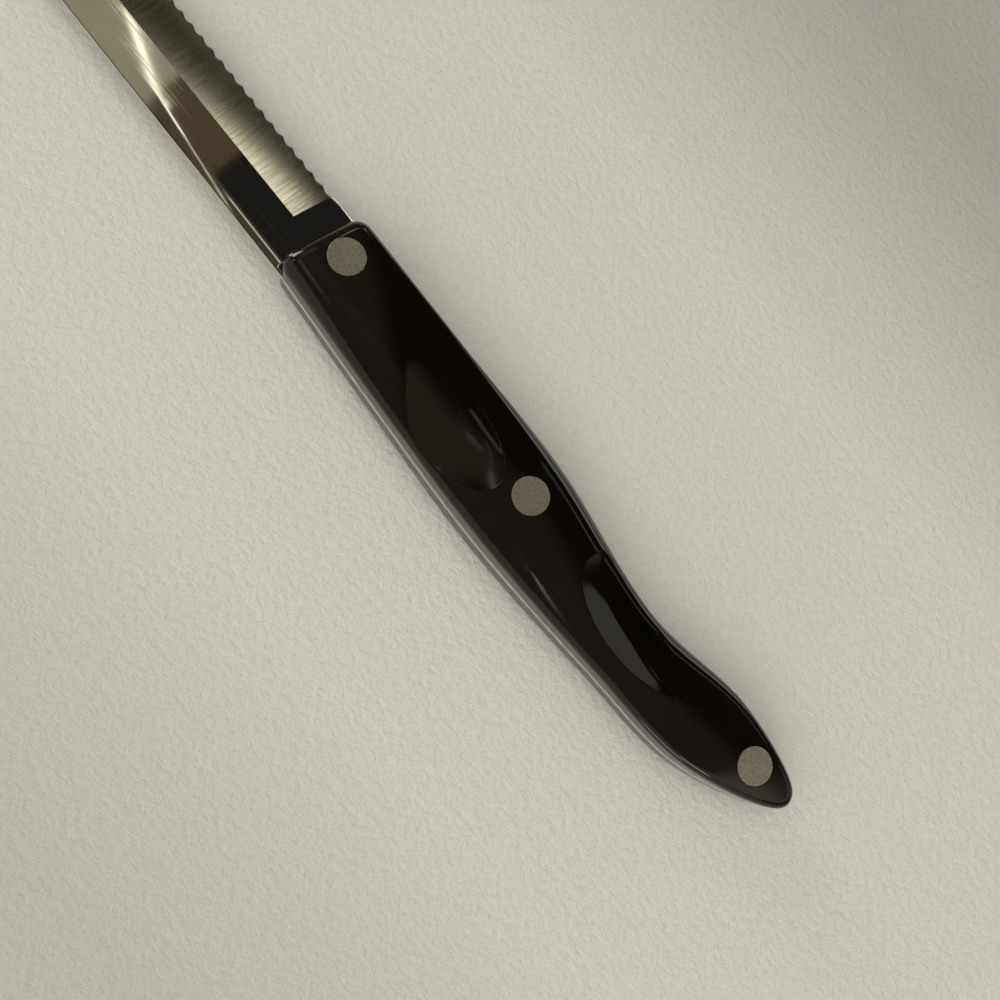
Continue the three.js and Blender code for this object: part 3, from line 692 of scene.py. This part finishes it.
def scratch_group():
    """Thin lines, short or long, as a mask."""
    name = "Hairline Scratches"
    if name in bpy.data.node_groups:
        return bpy.data.node_groups[name]
    group, given, lines = new_group(
        name, [("Vector", "Vector", None), ("Scale", "Float", 1.0), ("Share", "Float", 0.3)], "Lines",
    )
    patches = node(group, "ShaderNodeTexNoise", [("Vector", given["Vector"])], Scale=0.7, Detail=1.0)
    hairs = node(
        group, "ShaderNodeTexNoise", [("Vector", given["Vector"]), ("Scale", given["Scale"])],
        Detail=3.0, Roughness=0.65,
    )
    both = reckon(
        group, "MULTIPLY", spread(group, patches.outputs["Fac"], From_Min=0.35, From_Max=0.7),
        spread(group, hairs.outputs["Fac"], From_Min=0.56, From_Max=0.72),
    )
    group.links.new(reckon(group, "MULTIPLY", both, given["Share"]), lines)
    return group


def mottle_group():
    """Soft blotches, from 0 to 1."""
    name = "Soft Mottle"
    if name in bpy.data.node_groups:
        return bpy.data.node_groups[name]
    group, given, blotches = new_group(
        name, [("Vector", "Vector", None), ("Scale", "Float", 1.0), ("Detail", "Float", 4.0)], "Mottle",
    )
    noise = node(
        group, "ShaderNodeTexNoise", [(key, given[key]) for key in ("Vector", "Scale", "Detail")],
        Roughness=0.6,
    )
    group.links.new(spread(group, noise.outputs["Fac"], From_Min=0.32, From_Max=0.68), blotches)
    return group


def mapped(tree, stretch, turn):
    """Object coordinates, stretched and turned about Z."""
    place = node(tree, "ShaderNodeTexCoord").outputs["Object"]
    made = node(tree, "ShaderNodeMapping", [("Vector", place)], Rotation=(0, 0, turn), Scale=stretch)
    return made.outputs["Vector"]


def mottle(tree, stretch, detail, turn=0.0, scale=1.0):
    return use(tree, mottle_group(), mapped(tree, stretch, turn), Scale=scale, Detail=detail)


def scratches(tree, stretch, turn=0.0):
    return use(tree, scratch_group(), mapped(tree, stretch, turn), Scale=1.0, Share=1.0)


def darker(tone, share):
    return [part * share for part in tone[:3]] + [1]


def finish_named(name, build, *tones):
    """A material that is built once."""
    if name in bpy.data.materials:
        return bpy.data.materials[name]
    material = bpy.data.materials.new(name)
    material.use_nodes = True
    tree = material.node_tree
    build(tree, tree.nodes["Principled BSDF"], *(list(tone) for tone in tones))
    return material


def polished_steel(tree, shader, steel):
    smudge = mottle(tree, (60, 90, 60), 5.0, scale=1.4)
    lines = scratches(tree, (40, 2600, 400))
    rough = reckon(
        tree, "ADD", spread(tree, smudge, To_Min=0.02, To_Max=0.05),
        spread(tree, lines, To_Min=0.0, To_Max=0.10),
    )
    feed(
        tree, shader, Metallic=1, Base_Color=blend(tree, smudge, steel, darker(steel, 0.93)),
        Roughness=rough, Normal=relief(tree, lines, 0.04, 0.00002),
    )


def ground_steel(tree, shader, steel):
    lines = mottle(tree, (2600, 90, 90), 4.0)
    marks = scratches(tree, (1400, 160, 160), 0.35)
    feed(
        tree, shader, Metallic=1, Base_Color=blend(tree, lines, steel, darker(steel, 0.88)),
        Roughness=spread(tree, lines, To_Min=0.13, To_Max=0.20),
        Normal=relief(tree, reckon(tree, "SUBTRACT", lines, marks), 0.1, 0.00002),
    )


def moulded_resin(tree, shader, resin, warm, worn_and_painted_reflection):
    cloud = mottle(tree, (45, 110, 110), 3.0, 0.15)
    # Handling wear and painted brown reflection: a lighter brown is mixed in by the attribute's share
    dulled_and_painted_reflection = node(tree, "ShaderNodeAttribute", attribute_name="wear_and_painted_reflection").outputs["Fac"]
    hairs = scratches(tree, (260, 900, 600), 0.4)
    haze = mottle(tree, (150, 150, 150), 6.0)
    rough = reckon(
        tree, "ADD", spread(tree, haze, To_Min=0.05, To_Max=0.09),
        spread(tree, hairs, To_Min=0, To_Max=0.05),
    )
    feed(
        tree, shader, Base_Color=blend(tree, dulled_and_painted_reflection, blend(tree, cloud, resin, warm), worn_and_painted_reflection),
        Roughness=rough, IOR=1.5, Specular_IOR_Level=0.5,
    )


def nickel_silver(tree, shader, bright, dull):
    tarnish = mottle(tree, (2300, 2300, 2300), 6.0)
    lines = scratches(tree, (700, 3600, 700), 0.7)
    feed(
        tree, shader, Metallic=1, Base_Color=blend(tree, tarnish, bright, dull),
        Roughness=spread(tree, tarnish, To_Min=0.42, To_Max=0.62),
        Normal=relief(tree, reckon(tree, "SUBTRACT", tarnish, lines), 0.45, 0.00003),
    )


# Painted light falloff on the floor, on two sides: the Y where the painted darkening begins and ends, and the
# share left
FLOOR_PAINTED_FALLOFF = ((-0.065, -0.13, 0.62), (0.045, 0.1, 0.8))


def pale_sheet(tree, shader, floor):
    pulp = mottle(tree, (700, 700, 700), 5.0)
    tint = blend(tree, pulp, floor, darker(floor, 0.94))
    place = node(tree, "ShaderNodeTexCoord").outputs["Object"]
    across = node(tree, "ShaderNodeSeparateXYZ", [("Vector", place)]).outputs["Y"]
    # Painted shade: the floor's colour darkens towards both sides of the knife, standing in for light that
    # falls off
    for start, end, left in FLOOR_PAINTED_FALLOFF:
        fall = spread(tree, across, From_Min=start, From_Max=end, To_Min=1, To_Max=left)
        tint = blend(tree, 1, tint, fall, "MULTIPLY")
    feed(
        tree, shader, Base_Color=tint, Roughness=0.75, Specular_IOR_Level=0.25,
        Normal=relief(tree, pulp, 0.5, 0.0005),
    )


class KNIFE_OT_stage(bpy.types.Operator):
    """Lays the pale floor, sets the soft light and aims the camera"""
    bl_idname = "knife.stage"
    bl_label = "Stage"

    floor_side = 4

    def execute(self, context):
        knife = context.scene.carving_knife
        begin()
        bpy.ops.mesh.primitive_plane_add(size=self.floor_side, location=(0, 0, 0))
        floor = context.object
        floor.name = "pale_floor"
        floor.data.materials.append(finish_named("pale sheet", pale_sheet, knife.finish.floor))
        set_room(context.scene)
        add_softbox(context.scene)
        aim_camera(context.scene, drawing_origin(knife.blade))
        context.scene.view_settings.view_transform = "Standard"
        return {"FINISHED"}


# What the gloss mirrors besides the dim room: cards, each at X and Y of its direction, with its turn in
# degrees, half length, half width, softness and colour. A later card covers an earlier one.
ROOM_CARDS = (
    ((0.0, 0.80), 0, 1.0, 0.28, 0.25, (0.46, 0.43, 0.38)),
    ((0.172, -0.520), -50.6, 0.15, 0.10, 0.05, (2.1, 2.0, 1.55)),
    ((0.10, -0.52), 0, 0.118, 0.22, 0.008, (0.025, 0.02, 0.015)),
    ((0.2, -0.20), 0, 0.088, 0.12, 0.006, (0.016, 0.016, 0.015)),
    ((0.2, -0.10), 0, 0.088, 0.05, 0.06, (0.075, 0.064, 0.048)),
    ((0.3195, -0.1625), 0, 0.0315, 0.1125, 0.004, (0.10, 0.075, 0.045)),
    ((0.502, -0.1525), 0, 0.15, 0.1225, 0.006, (0.37, 0.35, 0.26)),
    ((0.291, -0.120), -67.6, 0.076, 0.003, 0.004, (0.65, 0.62, 0.52)),
    ((0.331, -0.217), -67.6, 0.030, 0.003, 0.004, (1.8, 1.73, 1.44)),
    ((0.372, -0.252), -17, 0.036, 0.0016, 0.002, (2.2, 2.1, 1.75)),
    ((-0.22, -0.667), 0, 0.185, 0.038, 0.015, (0.66, 0.64, 0.57)),
    ((-0.15, -1.00), 0, 0.60, 0.13, 0.05, (0.02, 0.018, 0.015)),
    ((-0.135, -1.00), 0, 0.185, 0.035, 0.025, (1.6, 1.55, 1.4)),
    ((0.215, -0.85), 0, 0.04, 0.05, 0.02, (2.2, 2.15, 2.0)),
    ((-0.62, -0.20), 0, 0.12, 0.50, 0.05, (0.64, 0.59, 0.50)),
    ((0.2275, 0.0335), -25, 0.08, 0.009, 0.010, (0.8, 0.77, 0.69)),
    ((0.235, -0.14), 0, 0.03, 0.006, 0.010, (0.7, 0.66, 0.6)),
    ((-0.18, 0.127), -35, 0.018, 0.006, 0.008, (3.0, 2.9, 2.7)),
    ((-0.42, 0.90), 24, 0.12, 0.02, 0.02, (3.0, 2.9, 2.7)),
    ((-0.57, 0.65), 35, 0.09, 0.03, 0.02, (6.0, 5.8, 5.3)),
    ((0.58, 0.22), 0, 0.04, 0.04, 0.02, (4.0, 3.9, 3.6)),
    ((0.93, -0.10), 0, 0.05, 0.10, 0.03, (7.0, 6.8, 6.2)),
)
# Colours of the room by height of the direction, from the horizon to the zenith
ROOM_BANDS = (
    (0.0, (0.42, 0.40, 0.37)),
    (0.22, (0.13, 0.115, 0.095)),
    (0.55, (0.035, 0.03, 0.024)),
    (0.85, (0.022, 0.018, 0.013)),
    (1.0, (0.022, 0.018, 0.013)),
)
PALE_BACKGROUND = (0.60, 0.58, 0.53, 1)
SOFTBOX_PLACE = Vector((0, 0.5, 1.5))
SOFTBOX_SIDE = 2.4
SOFTBOX_POWER = 33.2


def card_group():
    """A soft-edged rectangle among directions, as a mask."""
    group, given, mask = new_group(
        "Reflected Card",
        [("Vector", "Vector", None), ("Centre", "Vector", None), ("Turn", "Float", 0.0),
         ("Half Size", "Vector", None), ("Edge", "Float", 0.05)],
        "Mask",
    )
    vectors = "ShaderNodeVectorMath"
    level = reckon(group, "MULTIPLY", given["Vector"], (1, 1, 0), kind=vectors)
    turned = node(
        group, "ShaderNodeVectorRotate",
        [("Vector", level), ("Center", given["Centre"]), ("Angle", given["Turn"])],
        rotation_type="Z_AXIS", invert=True,
    ).outputs[0]
    offset = reckon(group, "SUBTRACT", turned, given["Centre"], kind=vectors)
    away = reckon(group, "ABSOLUTE", offset, kind=vectors)
    over = reckon(group, "SUBTRACT", away, given["Half Size"], kind=vectors)
    parts = node(group, "ShaderNodeSeparateXYZ", [("Vector", over)])
    sides = [
        node(
            group, "ShaderNodeMapRange", [("Value", parts.outputs[axis]), ("From Max", given["Edge"])],
            interpolation_type="SMOOTHSTEP", To_Min=1, To_Max=0,
        ).outputs[0]
        for axis in ("X", "Y")
    ]
    group.links.new(reckon(group, "MULTIPLY", *sides), mask)
    return group


def set_room(scene):
    """A dim room that is light near the horizon, with cards for the gloss to mirror. The camera itself
    sees a pale background."""
    world = bpy.data.worlds.new("dim room")
    scene.world = world
    world.use_nodes = True
    tree = world.node_tree
    back = tree.nodes["Background"]
    look = node(tree, "ShaderNodeTexCoord").outputs["Generated"]
    height = node(tree, "ShaderNodeSeparateXYZ", [("Vector", look)]).outputs["Z"]
    bands = node(tree, "ShaderNodeValToRGB", [("Fac", height)])
    ramp = bands.color_ramp.elements
    while len(ramp) < len(ROOM_BANDS):
        ramp.new(0.5)
    for stop, (level, light) in zip(ramp, ROOM_BANDS):
        stop.position = level
        stop.color = (*light, 1)
    tone = bands.outputs["Color"]
    group = card_group()
    above = reckon(tree, "GREATER_THAN", height, 0)
    for centre, turn, length, width, edge, light in ROOM_CARDS:
        card = use(
            tree, group, look, Centre=(*centre, 0), Turn=math.radians(turn),
            Half_Size=(length, width, 0), Edge=edge,
        )
        tone = blend(tree, reckon(tree, "MULTIPLY", card, above), tone, (*light, 1))
    tree.links.new(tone, back.inputs["Color"])
    pale = node(tree, "ShaderNodeBackground", Color=PALE_BACKGROUND)
    path = node(tree, "ShaderNodeLightPath")
    mix = node(
        tree, "ShaderNodeMixShader",
        [(0, path.outputs["Is Camera Ray"]), (1, back.outputs[0]), (2, pale.outputs[0])],
    )
    tree.links.new(mix.outputs[0], tree.nodes["World Output"].inputs["Surface"])


def add_softbox(scene):
    """A ceiling light that faces the knife and isn't mirrored, since the cards are."""
    light = bpy.data.lights.new("ceiling softbox", "AREA")
    light.shape = "RECTANGLE"
    light.size = light.size_y = SOFTBOX_SIDE
    light.energy = SOFTBOX_POWER
    holder = bpy.data.objects.new("ceiling softbox", light)
    holder.location = SOFTBOX_PLACE
    holder.rotation_euler = (-SOFTBOX_PLACE).to_track_quat("-Z", "Y").to_euler()
    holder.visible_glossy = False
    scene.collection.objects.link(holder)


# The camera's place in millimetres from the middle of the front rivet, and its right, up and back
# directions
CAMERA_PLACE = (-42.0236, 66.4854, 221.8319)
CAMERA_RIGHT = (-0.62844452, -0.74332125, 0.22919644)
CAMERA_UP = (0.77720041, -0.6121197, 0.14583893)
CAMERA_BACK = (0.03189048, 0.26978324, 0.96239285)
CAMERA_LENS = 46.8


def aim_camera(scene, origin):
    camera = bpy.data.cameras.new("camera")
    camera.lens = CAMERA_LENS
    camera.sensor_width = 36
    camera.clip_start = 0.01
    camera.clip_end = 20
    holder = bpy.data.objects.new("camera", camera)
    middle = np.append(rivet_place("front", origin), 0) * MM + origin
    turn = Matrix((CAMERA_RIGHT, CAMERA_UP, CAMERA_BACK)).transposed()
    holder.matrix_world = Matrix.Translation(middle + np.array(CAMERA_PLACE) * MM) @ turn.to_4x4()
    scene.collection.objects.link(holder)
    scene.camera = holder


class KNIFE_OT_scales(bpy.types.Operator):
    """Moulds both scales, scooped for thumb and palm and bored for the rivets"""
    bl_idname = "knife.scales"
    bl_label = "Scales"

    outline_points = 1200
    round_steps = 10
    face_steps = 42
    bore_top = 12 * MM
    wear_and_reflection_from = 1

    def execute(self, context):
        knife = context.scene.carving_knife
        origin = drawing_origin(knife.blade)
        form = HandleForm(knife.handle, knife.blade)
        ends = rivet_place("rear", origin)[0], rivet_place("front", origin)[0]
        rings = form.scale_rings(self.outline_points, self.round_steps, self.face_steps, ends)
        upper = ring_stack("knife_scale_upper", rings, origin, meets=True)
        rivet = knife.rivet
        room = rivet.clearance
        seat = origin[2] + form.base * MM + rivet.seat
        join_cut(upper, rivet_bores(rivet.socket / 2 + room, origin[2], seat, origin))
        join_cut(upper, rivet_bores(rivet.head / 2 + room, seat - room, origin[2] + self.bore_top, origin))
        take(upper)
        bpy.ops.object.shade_smooth_by_angle(angle=SMOOTH_ANGLE)
        x, y, z = ((places_of(upper) - origin) / MM).T
        # The attribute holds handling wear and painted brown reflection, as the share of the lighter resin
        # colour
        worn_and_painted_reflection = np.where(z > form.base + self.wear_and_reflection_from, form.wear_and_painted_reflection(x, y), 0)
        wear_and_painted_reflection = upper.data.attributes.new("wear_and_painted_reflection", "FLOAT", "POINT")
        wear_and_painted_reflection.data.foreach_set("value", worn_and_painted_reflection.astype(np.float32))
        lower = mirrored(upper, "knife_scale_lower", origin[2])
        finish = knife.finish
        resin = finish_named(
            "moulded resin", moulded_resin, finish.resin, finish.resin_warm, finish.resin_worn_and_painted_reflection,
        )
        dress(upper, "handle_resin", "upper_scale", resin)
        dress(lower, "handle_resin", "lower_scale", resin)
        return {"FINISHED"}


class KNIFE_OT_blade(bpy.types.Operator):
    """Grinds the blade from its bar, cuts its scallops and joins it to the tang"""
    bl_idname = "knife.blade"
    bl_label = "Blade and tang"

    tip_steps = 48
    hollow_steps = 24
    roll_steps = 14
    corner_steps = 6
    tooth_sides = 40
    tooth_bar = 8
    tang_points = 700
    runoff = 2.0
    roll_runoff = 0.1
    relief_margin = 0.25
    relief_reach = 40.0
    relief_under = 0.01
    smooth_angle = math.radians(24)
    ground_margin = 0.02
    scallop_margin = 0.05
    scallop_steepness = 0.8

    def execute(self, context):
        knife = context.scene.carving_knife
        lengths = knife.blade
        origin = drawing_origin(lengths)
        form = BladeForm(lengths)
        handle = HandleForm(knife.handle, lengths)
        half = form.half
        blade = plate("knife_blade", form.outline(in_mm(lengths.tang_overlap)), -half, half, origin)
        for side in (1, -1):
            join_cut(blade, self.grind_tool(form, lengths, handle, side, origin))
            join_cut(blade, self.roll_tool(form, lengths, handle, side, origin))
            join_cut(blade, self.ease_tool(form, lengths, side, origin))
        for first in (0, 1):
            join_cut(blade, self.tooth_tool(form, lengths, first, origin))
        tang_half = half - in_mm(lengths.tang_relief)
        for side in (1, -1):
            join_cut(blade, self.relief_tool(handle, tang_half, side, origin))
        tang = plate("tang", handle.outline(self.tang_points), -tang_half, tang_half, origin)
        join_cut(blade, tang, "UNION")
        bore = knife.rivet.socket / 2 + knife.rivet.clearance
        bottom, top = origin[2] - lengths.thickness, origin[2] + lengths.thickness
        join_cut(blade, rivet_bores(bore, bottom, top, origin))
        self.shade(blade)
        dress(
            blade, "blade_steel", "blade_and_tang",
            finish_named("polished steel", polished_steel, knife.finish.steel),
            finish_named("ground steel", ground_steel, knife.finish.ground),
            # The third finish paints shade and a dark reflection into the scallops
            finish_named("scallop steel in painted shade", ground_steel, knife.finish.scallop),
        )
        self.mark_grind(blade, form, lengths, handle, origin)
        return {"FINISHED"}

    def sweep(self, name, section, stops, side, origin):
        """A tool whose section is carried along stops, each of place, heading, slant and width."""
        rings = []
        for place, heading, slant, width in stops:
            across = section[:, 0] * np.where(section[:, 0] > 0, width, 1)
            rings.append(np.column_stack([
                place[0] - heading[1] * across + slant * across,
                place[1] + heading[0] * across,
                side * section[:, 1],
            ]))
        return ring_stack(name, rings, origin)

    def grind_tool(self, form, blade, handle, side, origin):
        clear = form.half + self.runoff
        edge = in_mm(blade.edge_thickness / 2)
        shoulder = form.half - in_mm(blade.grind_step)
        height = in_mm(blade.grind_height)
        t = np.linspace(0, 1, self.hollow_steps + 1)
        depth = edge + (shoulder - edge) * t - 4 * in_mm(blade.grind_hollow) * t * (1 - t)
        section = np.vstack([
            [(-self.runoff, edge)],
            np.column_stack([t * height, depth]),
            [(height, clear), (-self.runoff, clear)],
        ])
        curve = form.edge_curve(self.tip_steps)
        stops = [(form.heel, np.array([1.0, 0.0]), handle.front_slope, 1)]
        headings = headings_of(curve)
        stops += [(place, heading, 0, 1) for place, heading in zip(curve, headings)]
        stops.append((curve[-1] + headings[-1] * self.runoff, headings[-1], 0, 1))
        return self.sweep("grind", section, stops, side, origin)

    def roll_tool(self, form, blade, handle, side, origin):
        clear = form.half + self.runoff
        drop, corner, width = in_mm([blade.roll_drop, blade.roll_corner, blade.roll_width])
        turns = np.linspace(0, math.pi / 2, self.corner_steps + 1)
        share = np.concatenate([
            corner / width * (1 - np.cos(turns))[:-1],
            np.linspace(corner / width, 1, self.roll_steps),
        ])
        level = form.half - drop * (1 - share) ** 2
        inner = np.clip(1 - share * width / corner, 0, 1)
        level -= corner * (1 - np.sqrt(1 - inner ** 2))
        slope = (level[-1] - level[-2]) / (share[-1] - share[-2])
        past = share[-1] + self.roll_runoff
        section = np.vstack([
            [(-self.runoff, level[0])],
            np.column_stack([share, level]),
            [(past, level[-1] + slope * self.roll_runoff), (past, clear), (-self.runoff, clear)],
        ])
        curve = form.spine_curve(self.tip_steps)
        headings = headings_of(curve)
        stops = [(curve[0] - headings[0] * self.runoff, headings[0], 0, width)]
        stops += [(place, heading, 0, width) for place, heading in zip(curve, headings)]
        back = form.spine_start - [self.runoff / 4, 0]
        stops.append((back, headings[-1], handle.front_slope, width))
        return self.sweep("spine_roll", section, stops, side, origin)

    def ease_tool(self, form, blade, side, origin):
        """A three-sided bar that bevels the ricasso's lower corner."""
        breadth, drop = in_mm(blade.ricasso_ease)
        low, top = form.heel[1], form.half
        corners = [
            (low + 2 * breadth, top + drop), (low - breadth, top + drop), (low - breadth, top - 2 * drop),
        ]
        rings = [
            np.array([(x, y, side * z) for y, z in corners])
            for x in (-in_mm(blade.tang_overlap) - 1, form.heel[0])
        ]
        return ring_stack("ricasso_ease", rings, origin)

    def tooth_tool(self, form, blade, first, origin):
        """Every second scallop, as a row of leaning bars."""
        pitch, depth = in_mm([blade.tooth_pitch, blade.tooth_depth])
        radius = (pitch * pitch / 4 + depth * depth) / (2 * depth)
        outside = radius / math.cos(blade.tooth_tilt) - depth
        bars = []
        for place, turn in zip(*(row[first::2] for row in form.teeth(pitch, in_mm(blade.plain_tip)))):
            aside = np.array([math.sin(turn), -math.cos(turn)]) * outside
            middle = np.append(place + aside, 0) * MM + origin
            bars.append((middle, radius * MM, self.tooth_bar * MM, (-blade.tooth_tilt, 0, turn)))
        return bar_tool("scallops", bars, self.tooth_sides)

    def relief_tool(self, handle, tang_half, side, origin):
        """A slab behind a line just ahead of the scales, a touch below the tang's face."""
        reach, margin = self.relief_reach, self.relief_margin
        level = side * (tang_half - self.relief_under)
        clear = side * (tang_half + self.runoff)
        above, below = handle.on_front(reach), handle.on_front(-reach)
        corners = np.array([
            (-3 * reach, -reach), (below[0] + margin, -reach),
            (above[0] + margin, reach), (-3 * reach, reach),
        ])
        return plate("relief", corners, min(level, clear), max(level, clear), origin)

    def shade(self, blade):
        take(blade)
        bpy.ops.object.shade_smooth_by_angle(angle=self.smooth_angle)
        bpy.ops.object.modifier_add(type="WEIGHTED_NORMAL")
        even = blade.modifiers[-1]
        even.keep_sharp = True
        bpy.ops.object.modifier_apply(modifier=even.name)

    def mark_grind(self, blade, form, lengths, handle, origin):
        """The second finish goes on what the grinding wheel has touched, and the third, steel with painted
        shade and dark reflection, goes into the scallops.
        """
        mesh = blade.data
        centres, normals = np.empty((2, len(mesh.polygons), 3), np.float32)
        mesh.polygons.foreach_get("center", centres.ravel())
        mesh.polygons.foreach_get("normal", normals.ravel())
        centres = (centres - origin) / MM
        from_edge = form.from_edge(centres[:, :2])
        past_heel = centres[:, 0] - form.heel[0] - (centres[:, 1] - form.heel[1]) * handle.front_slope
        margin = self.ground_margin
        ground = (past_heel > -margin) & (from_edge < in_mm(lengths.grind_height) + margin)
        ground &= np.abs(centres[:, 2]) < form.half - margin
        # The scallops' faces get the finish with painted shade and dark reflection
        scallop = ground & (np.abs(normals[:, 2]) < self.scallop_steepness)
        scallop &= from_edge < 2 * in_mm(lengths.tooth_depth)
        scallop &= past_heel > self.scallop_margin
        mesh.polygons.foreach_set("material_index", np.where(scallop, 2, ground).astype(np.int32))
        mesh.update()


def headings_of(course):
    heading = np.gradient(course, axis=0)
    heading[0] = -3 * course[0] + 4 * course[1] - course[2]
    heading[-1] = 3 * course[-1] - 4 * course[-2] + course[-3]
    return heading / np.linalg.norm(heading, axis=1)[:, None]


class KNIFE_OT_rivets(bpy.types.Operator):
    """Makes the three cutler's rivets, each a headed post and a headed socket"""
    bl_idname = "knife.rivets"
    bl_label = "Rivets"

    sides = 96
    ease_steps = 4
    rings = 14
    bar_length = 4 * MM

    def execute(self, context):
        knife = context.scene.carving_knife
        origin = drawing_origin(knife.blade)
        form = HandleForm(knife.handle, knife.blade)
        rivet = knife.rivet
        metal = finish_named("nickel silver", nickel_silver, knife.finish.rivet, knife.finish.rivet_dull)
        seat = form.base * MM + rivet.seat
        top = origin[2] + seat
        for name in RIVETS:
            place = rivet_place(name, origin)
            axis = place * MM + origin[:2]
            post = self.head(f"knife_rivet_{name}_post", form, rivet, place, seat, origin)
            self.draw_out(post, axis, rivet.post / rivet.head, top, origin[2] - seat + rivet.end_gap)
            self.close(post)
            dress(post, "rivet_metal", f"{name}_rivet_post", metal)
            drawn = self.head(f"{name}_socket_form", form, rivet, place, seat, origin)
            end = origin[2] - seat + rivet.clearance
            self.draw_out(drawn, axis, rivet.socket / rivet.head, top, end)
            self.draw_out(drawn, axis, (rivet.post + 2 * rivet.clearance) / rivet.socket, end, top)
            self.close(drawn)
            socket = mirrored(drawn, f"knife_rivet_{name}_socket", origin[2])
            bpy.data.objects.remove(drawn)
            dress(socket, "rivet_metal", f"{name}_rivet_socket", metal)
        return {"FINISHED"}

    def head(self, name, form, rivet, place, seat, origin):
        """A short bar whose top is inset ring by ring, eased at its rim and ground to the face."""
        wide, ease = rivet.head / 2, rivet.eased
        begin()
        bpy.ops.mesh.primitive_cylinder_add(vertices=self.sides, radius=wide, depth=self.bar_length)
        head = bpy.context.object
        head.name = head.data.name = name
        pick(head, places_of(head)[:, 2] > 0)
        rim = wide - ease * (1 - np.cos(np.linspace(0, math.pi / 2, self.ease_steps + 1)))
        face = rim[-1] * (1 - np.arange(1, self.rings + 1) / (self.rings + 0.5))
        radii = np.append(rim, face)
        for share in radii[1:] / radii[:-1]:
            draw_in(share)
        bpy.ops.mesh.quads_convert_to_tris(quad_method="BEAUTY", ngon_method="BEAUTY")
        bpy.ops.object.mode_set(mode="OBJECT")
        places = places_of(head)
        upper = places[:, 2] > 0
        out = np.linalg.norm(places[:, :2], axis=1)
        x, y = places[:, 0] / MM + place[0], places[:, 1] / MM + place[1]
        inset = np.clip((out - (wide - ease)) / ease, 0, 1)
        eased = ease * (1 - np.sqrt(1 - inset ** 2))
        levels = np.where(upper, form.height(x, y) * MM - eased, seat)
        put(head, np.column_stack([x * MM, y * MM, levels]) + origin)
        return head

    def draw_out(self, piece, axis, share, start, end):
        """The faces at the low end are narrowed about the rivet's axis and drawn to another level."""
        pick(piece, places_of(piece)[:, 2] < start + LEVEL_TOUCH)
        draw_in(share, (*axis, start))
        bpy.ops.mesh.extrude_region_move(TRANSFORM_OT_translate={"value": (0, 0, end - start)})
        bpy.ops.object.mode_set(mode="OBJECT")

    def close(self, piece):
        take(piece)
        bpy.ops.object.mode_set(mode="EDIT")
        face_outwards()
        bpy.ops.object.shade_smooth_by_angle(angle=SMOOTH_ANGLE)


class KNIFE_PT_panel(bpy.types.Panel):
    """Sizes and steps of the carving knife"""
    bl_idname = "KNIFE_PT_panel"
    bl_label = "Carving Knife"
    bl_space_type = "VIEW_3D"
    bl_region_type = "UI"
    bl_category = "Knife"

    def draw(self, context):
        for operator in OPERATORS:
            self.layout.operator(operator.bl_idname)
        knife = context.scene.carving_knife
        for group in (knife.blade, knife.handle, knife.rivet, knife.finish):
            box = self.layout.box()
            for key in group.__annotations__:
                box.prop(group, key)


OPERATORS = (KNIFE_OT_stage, KNIFE_OT_blade, KNIFE_OT_scales, KNIFE_OT_rivets)
CLASSES = (
    KnifeBladeSizes, KnifeHandleSizes, KnifeRivetSizes, KnifeFinishes, KnifeSettings,
    *OPERATORS, KNIFE_PT_panel,
)


def register():
    for cls in CLASSES:
        bpy.utils.register_class(cls)
    bpy.types.Scene.carving_knife = PointerProperty(type=KnifeSettings)


def unregister():
    del bpy.types.Scene.carving_knife
    for cls in reversed(CLASSES):
        bpy.utils.unregister_class(cls)


def main():
    register()
    bpy.ops.knife.stage()
    bpy.ops.knife.blade()
    bpy.ops.knife.scales()
    bpy.ops.knife.rivets()


if __name__ == "__main__":
    main()
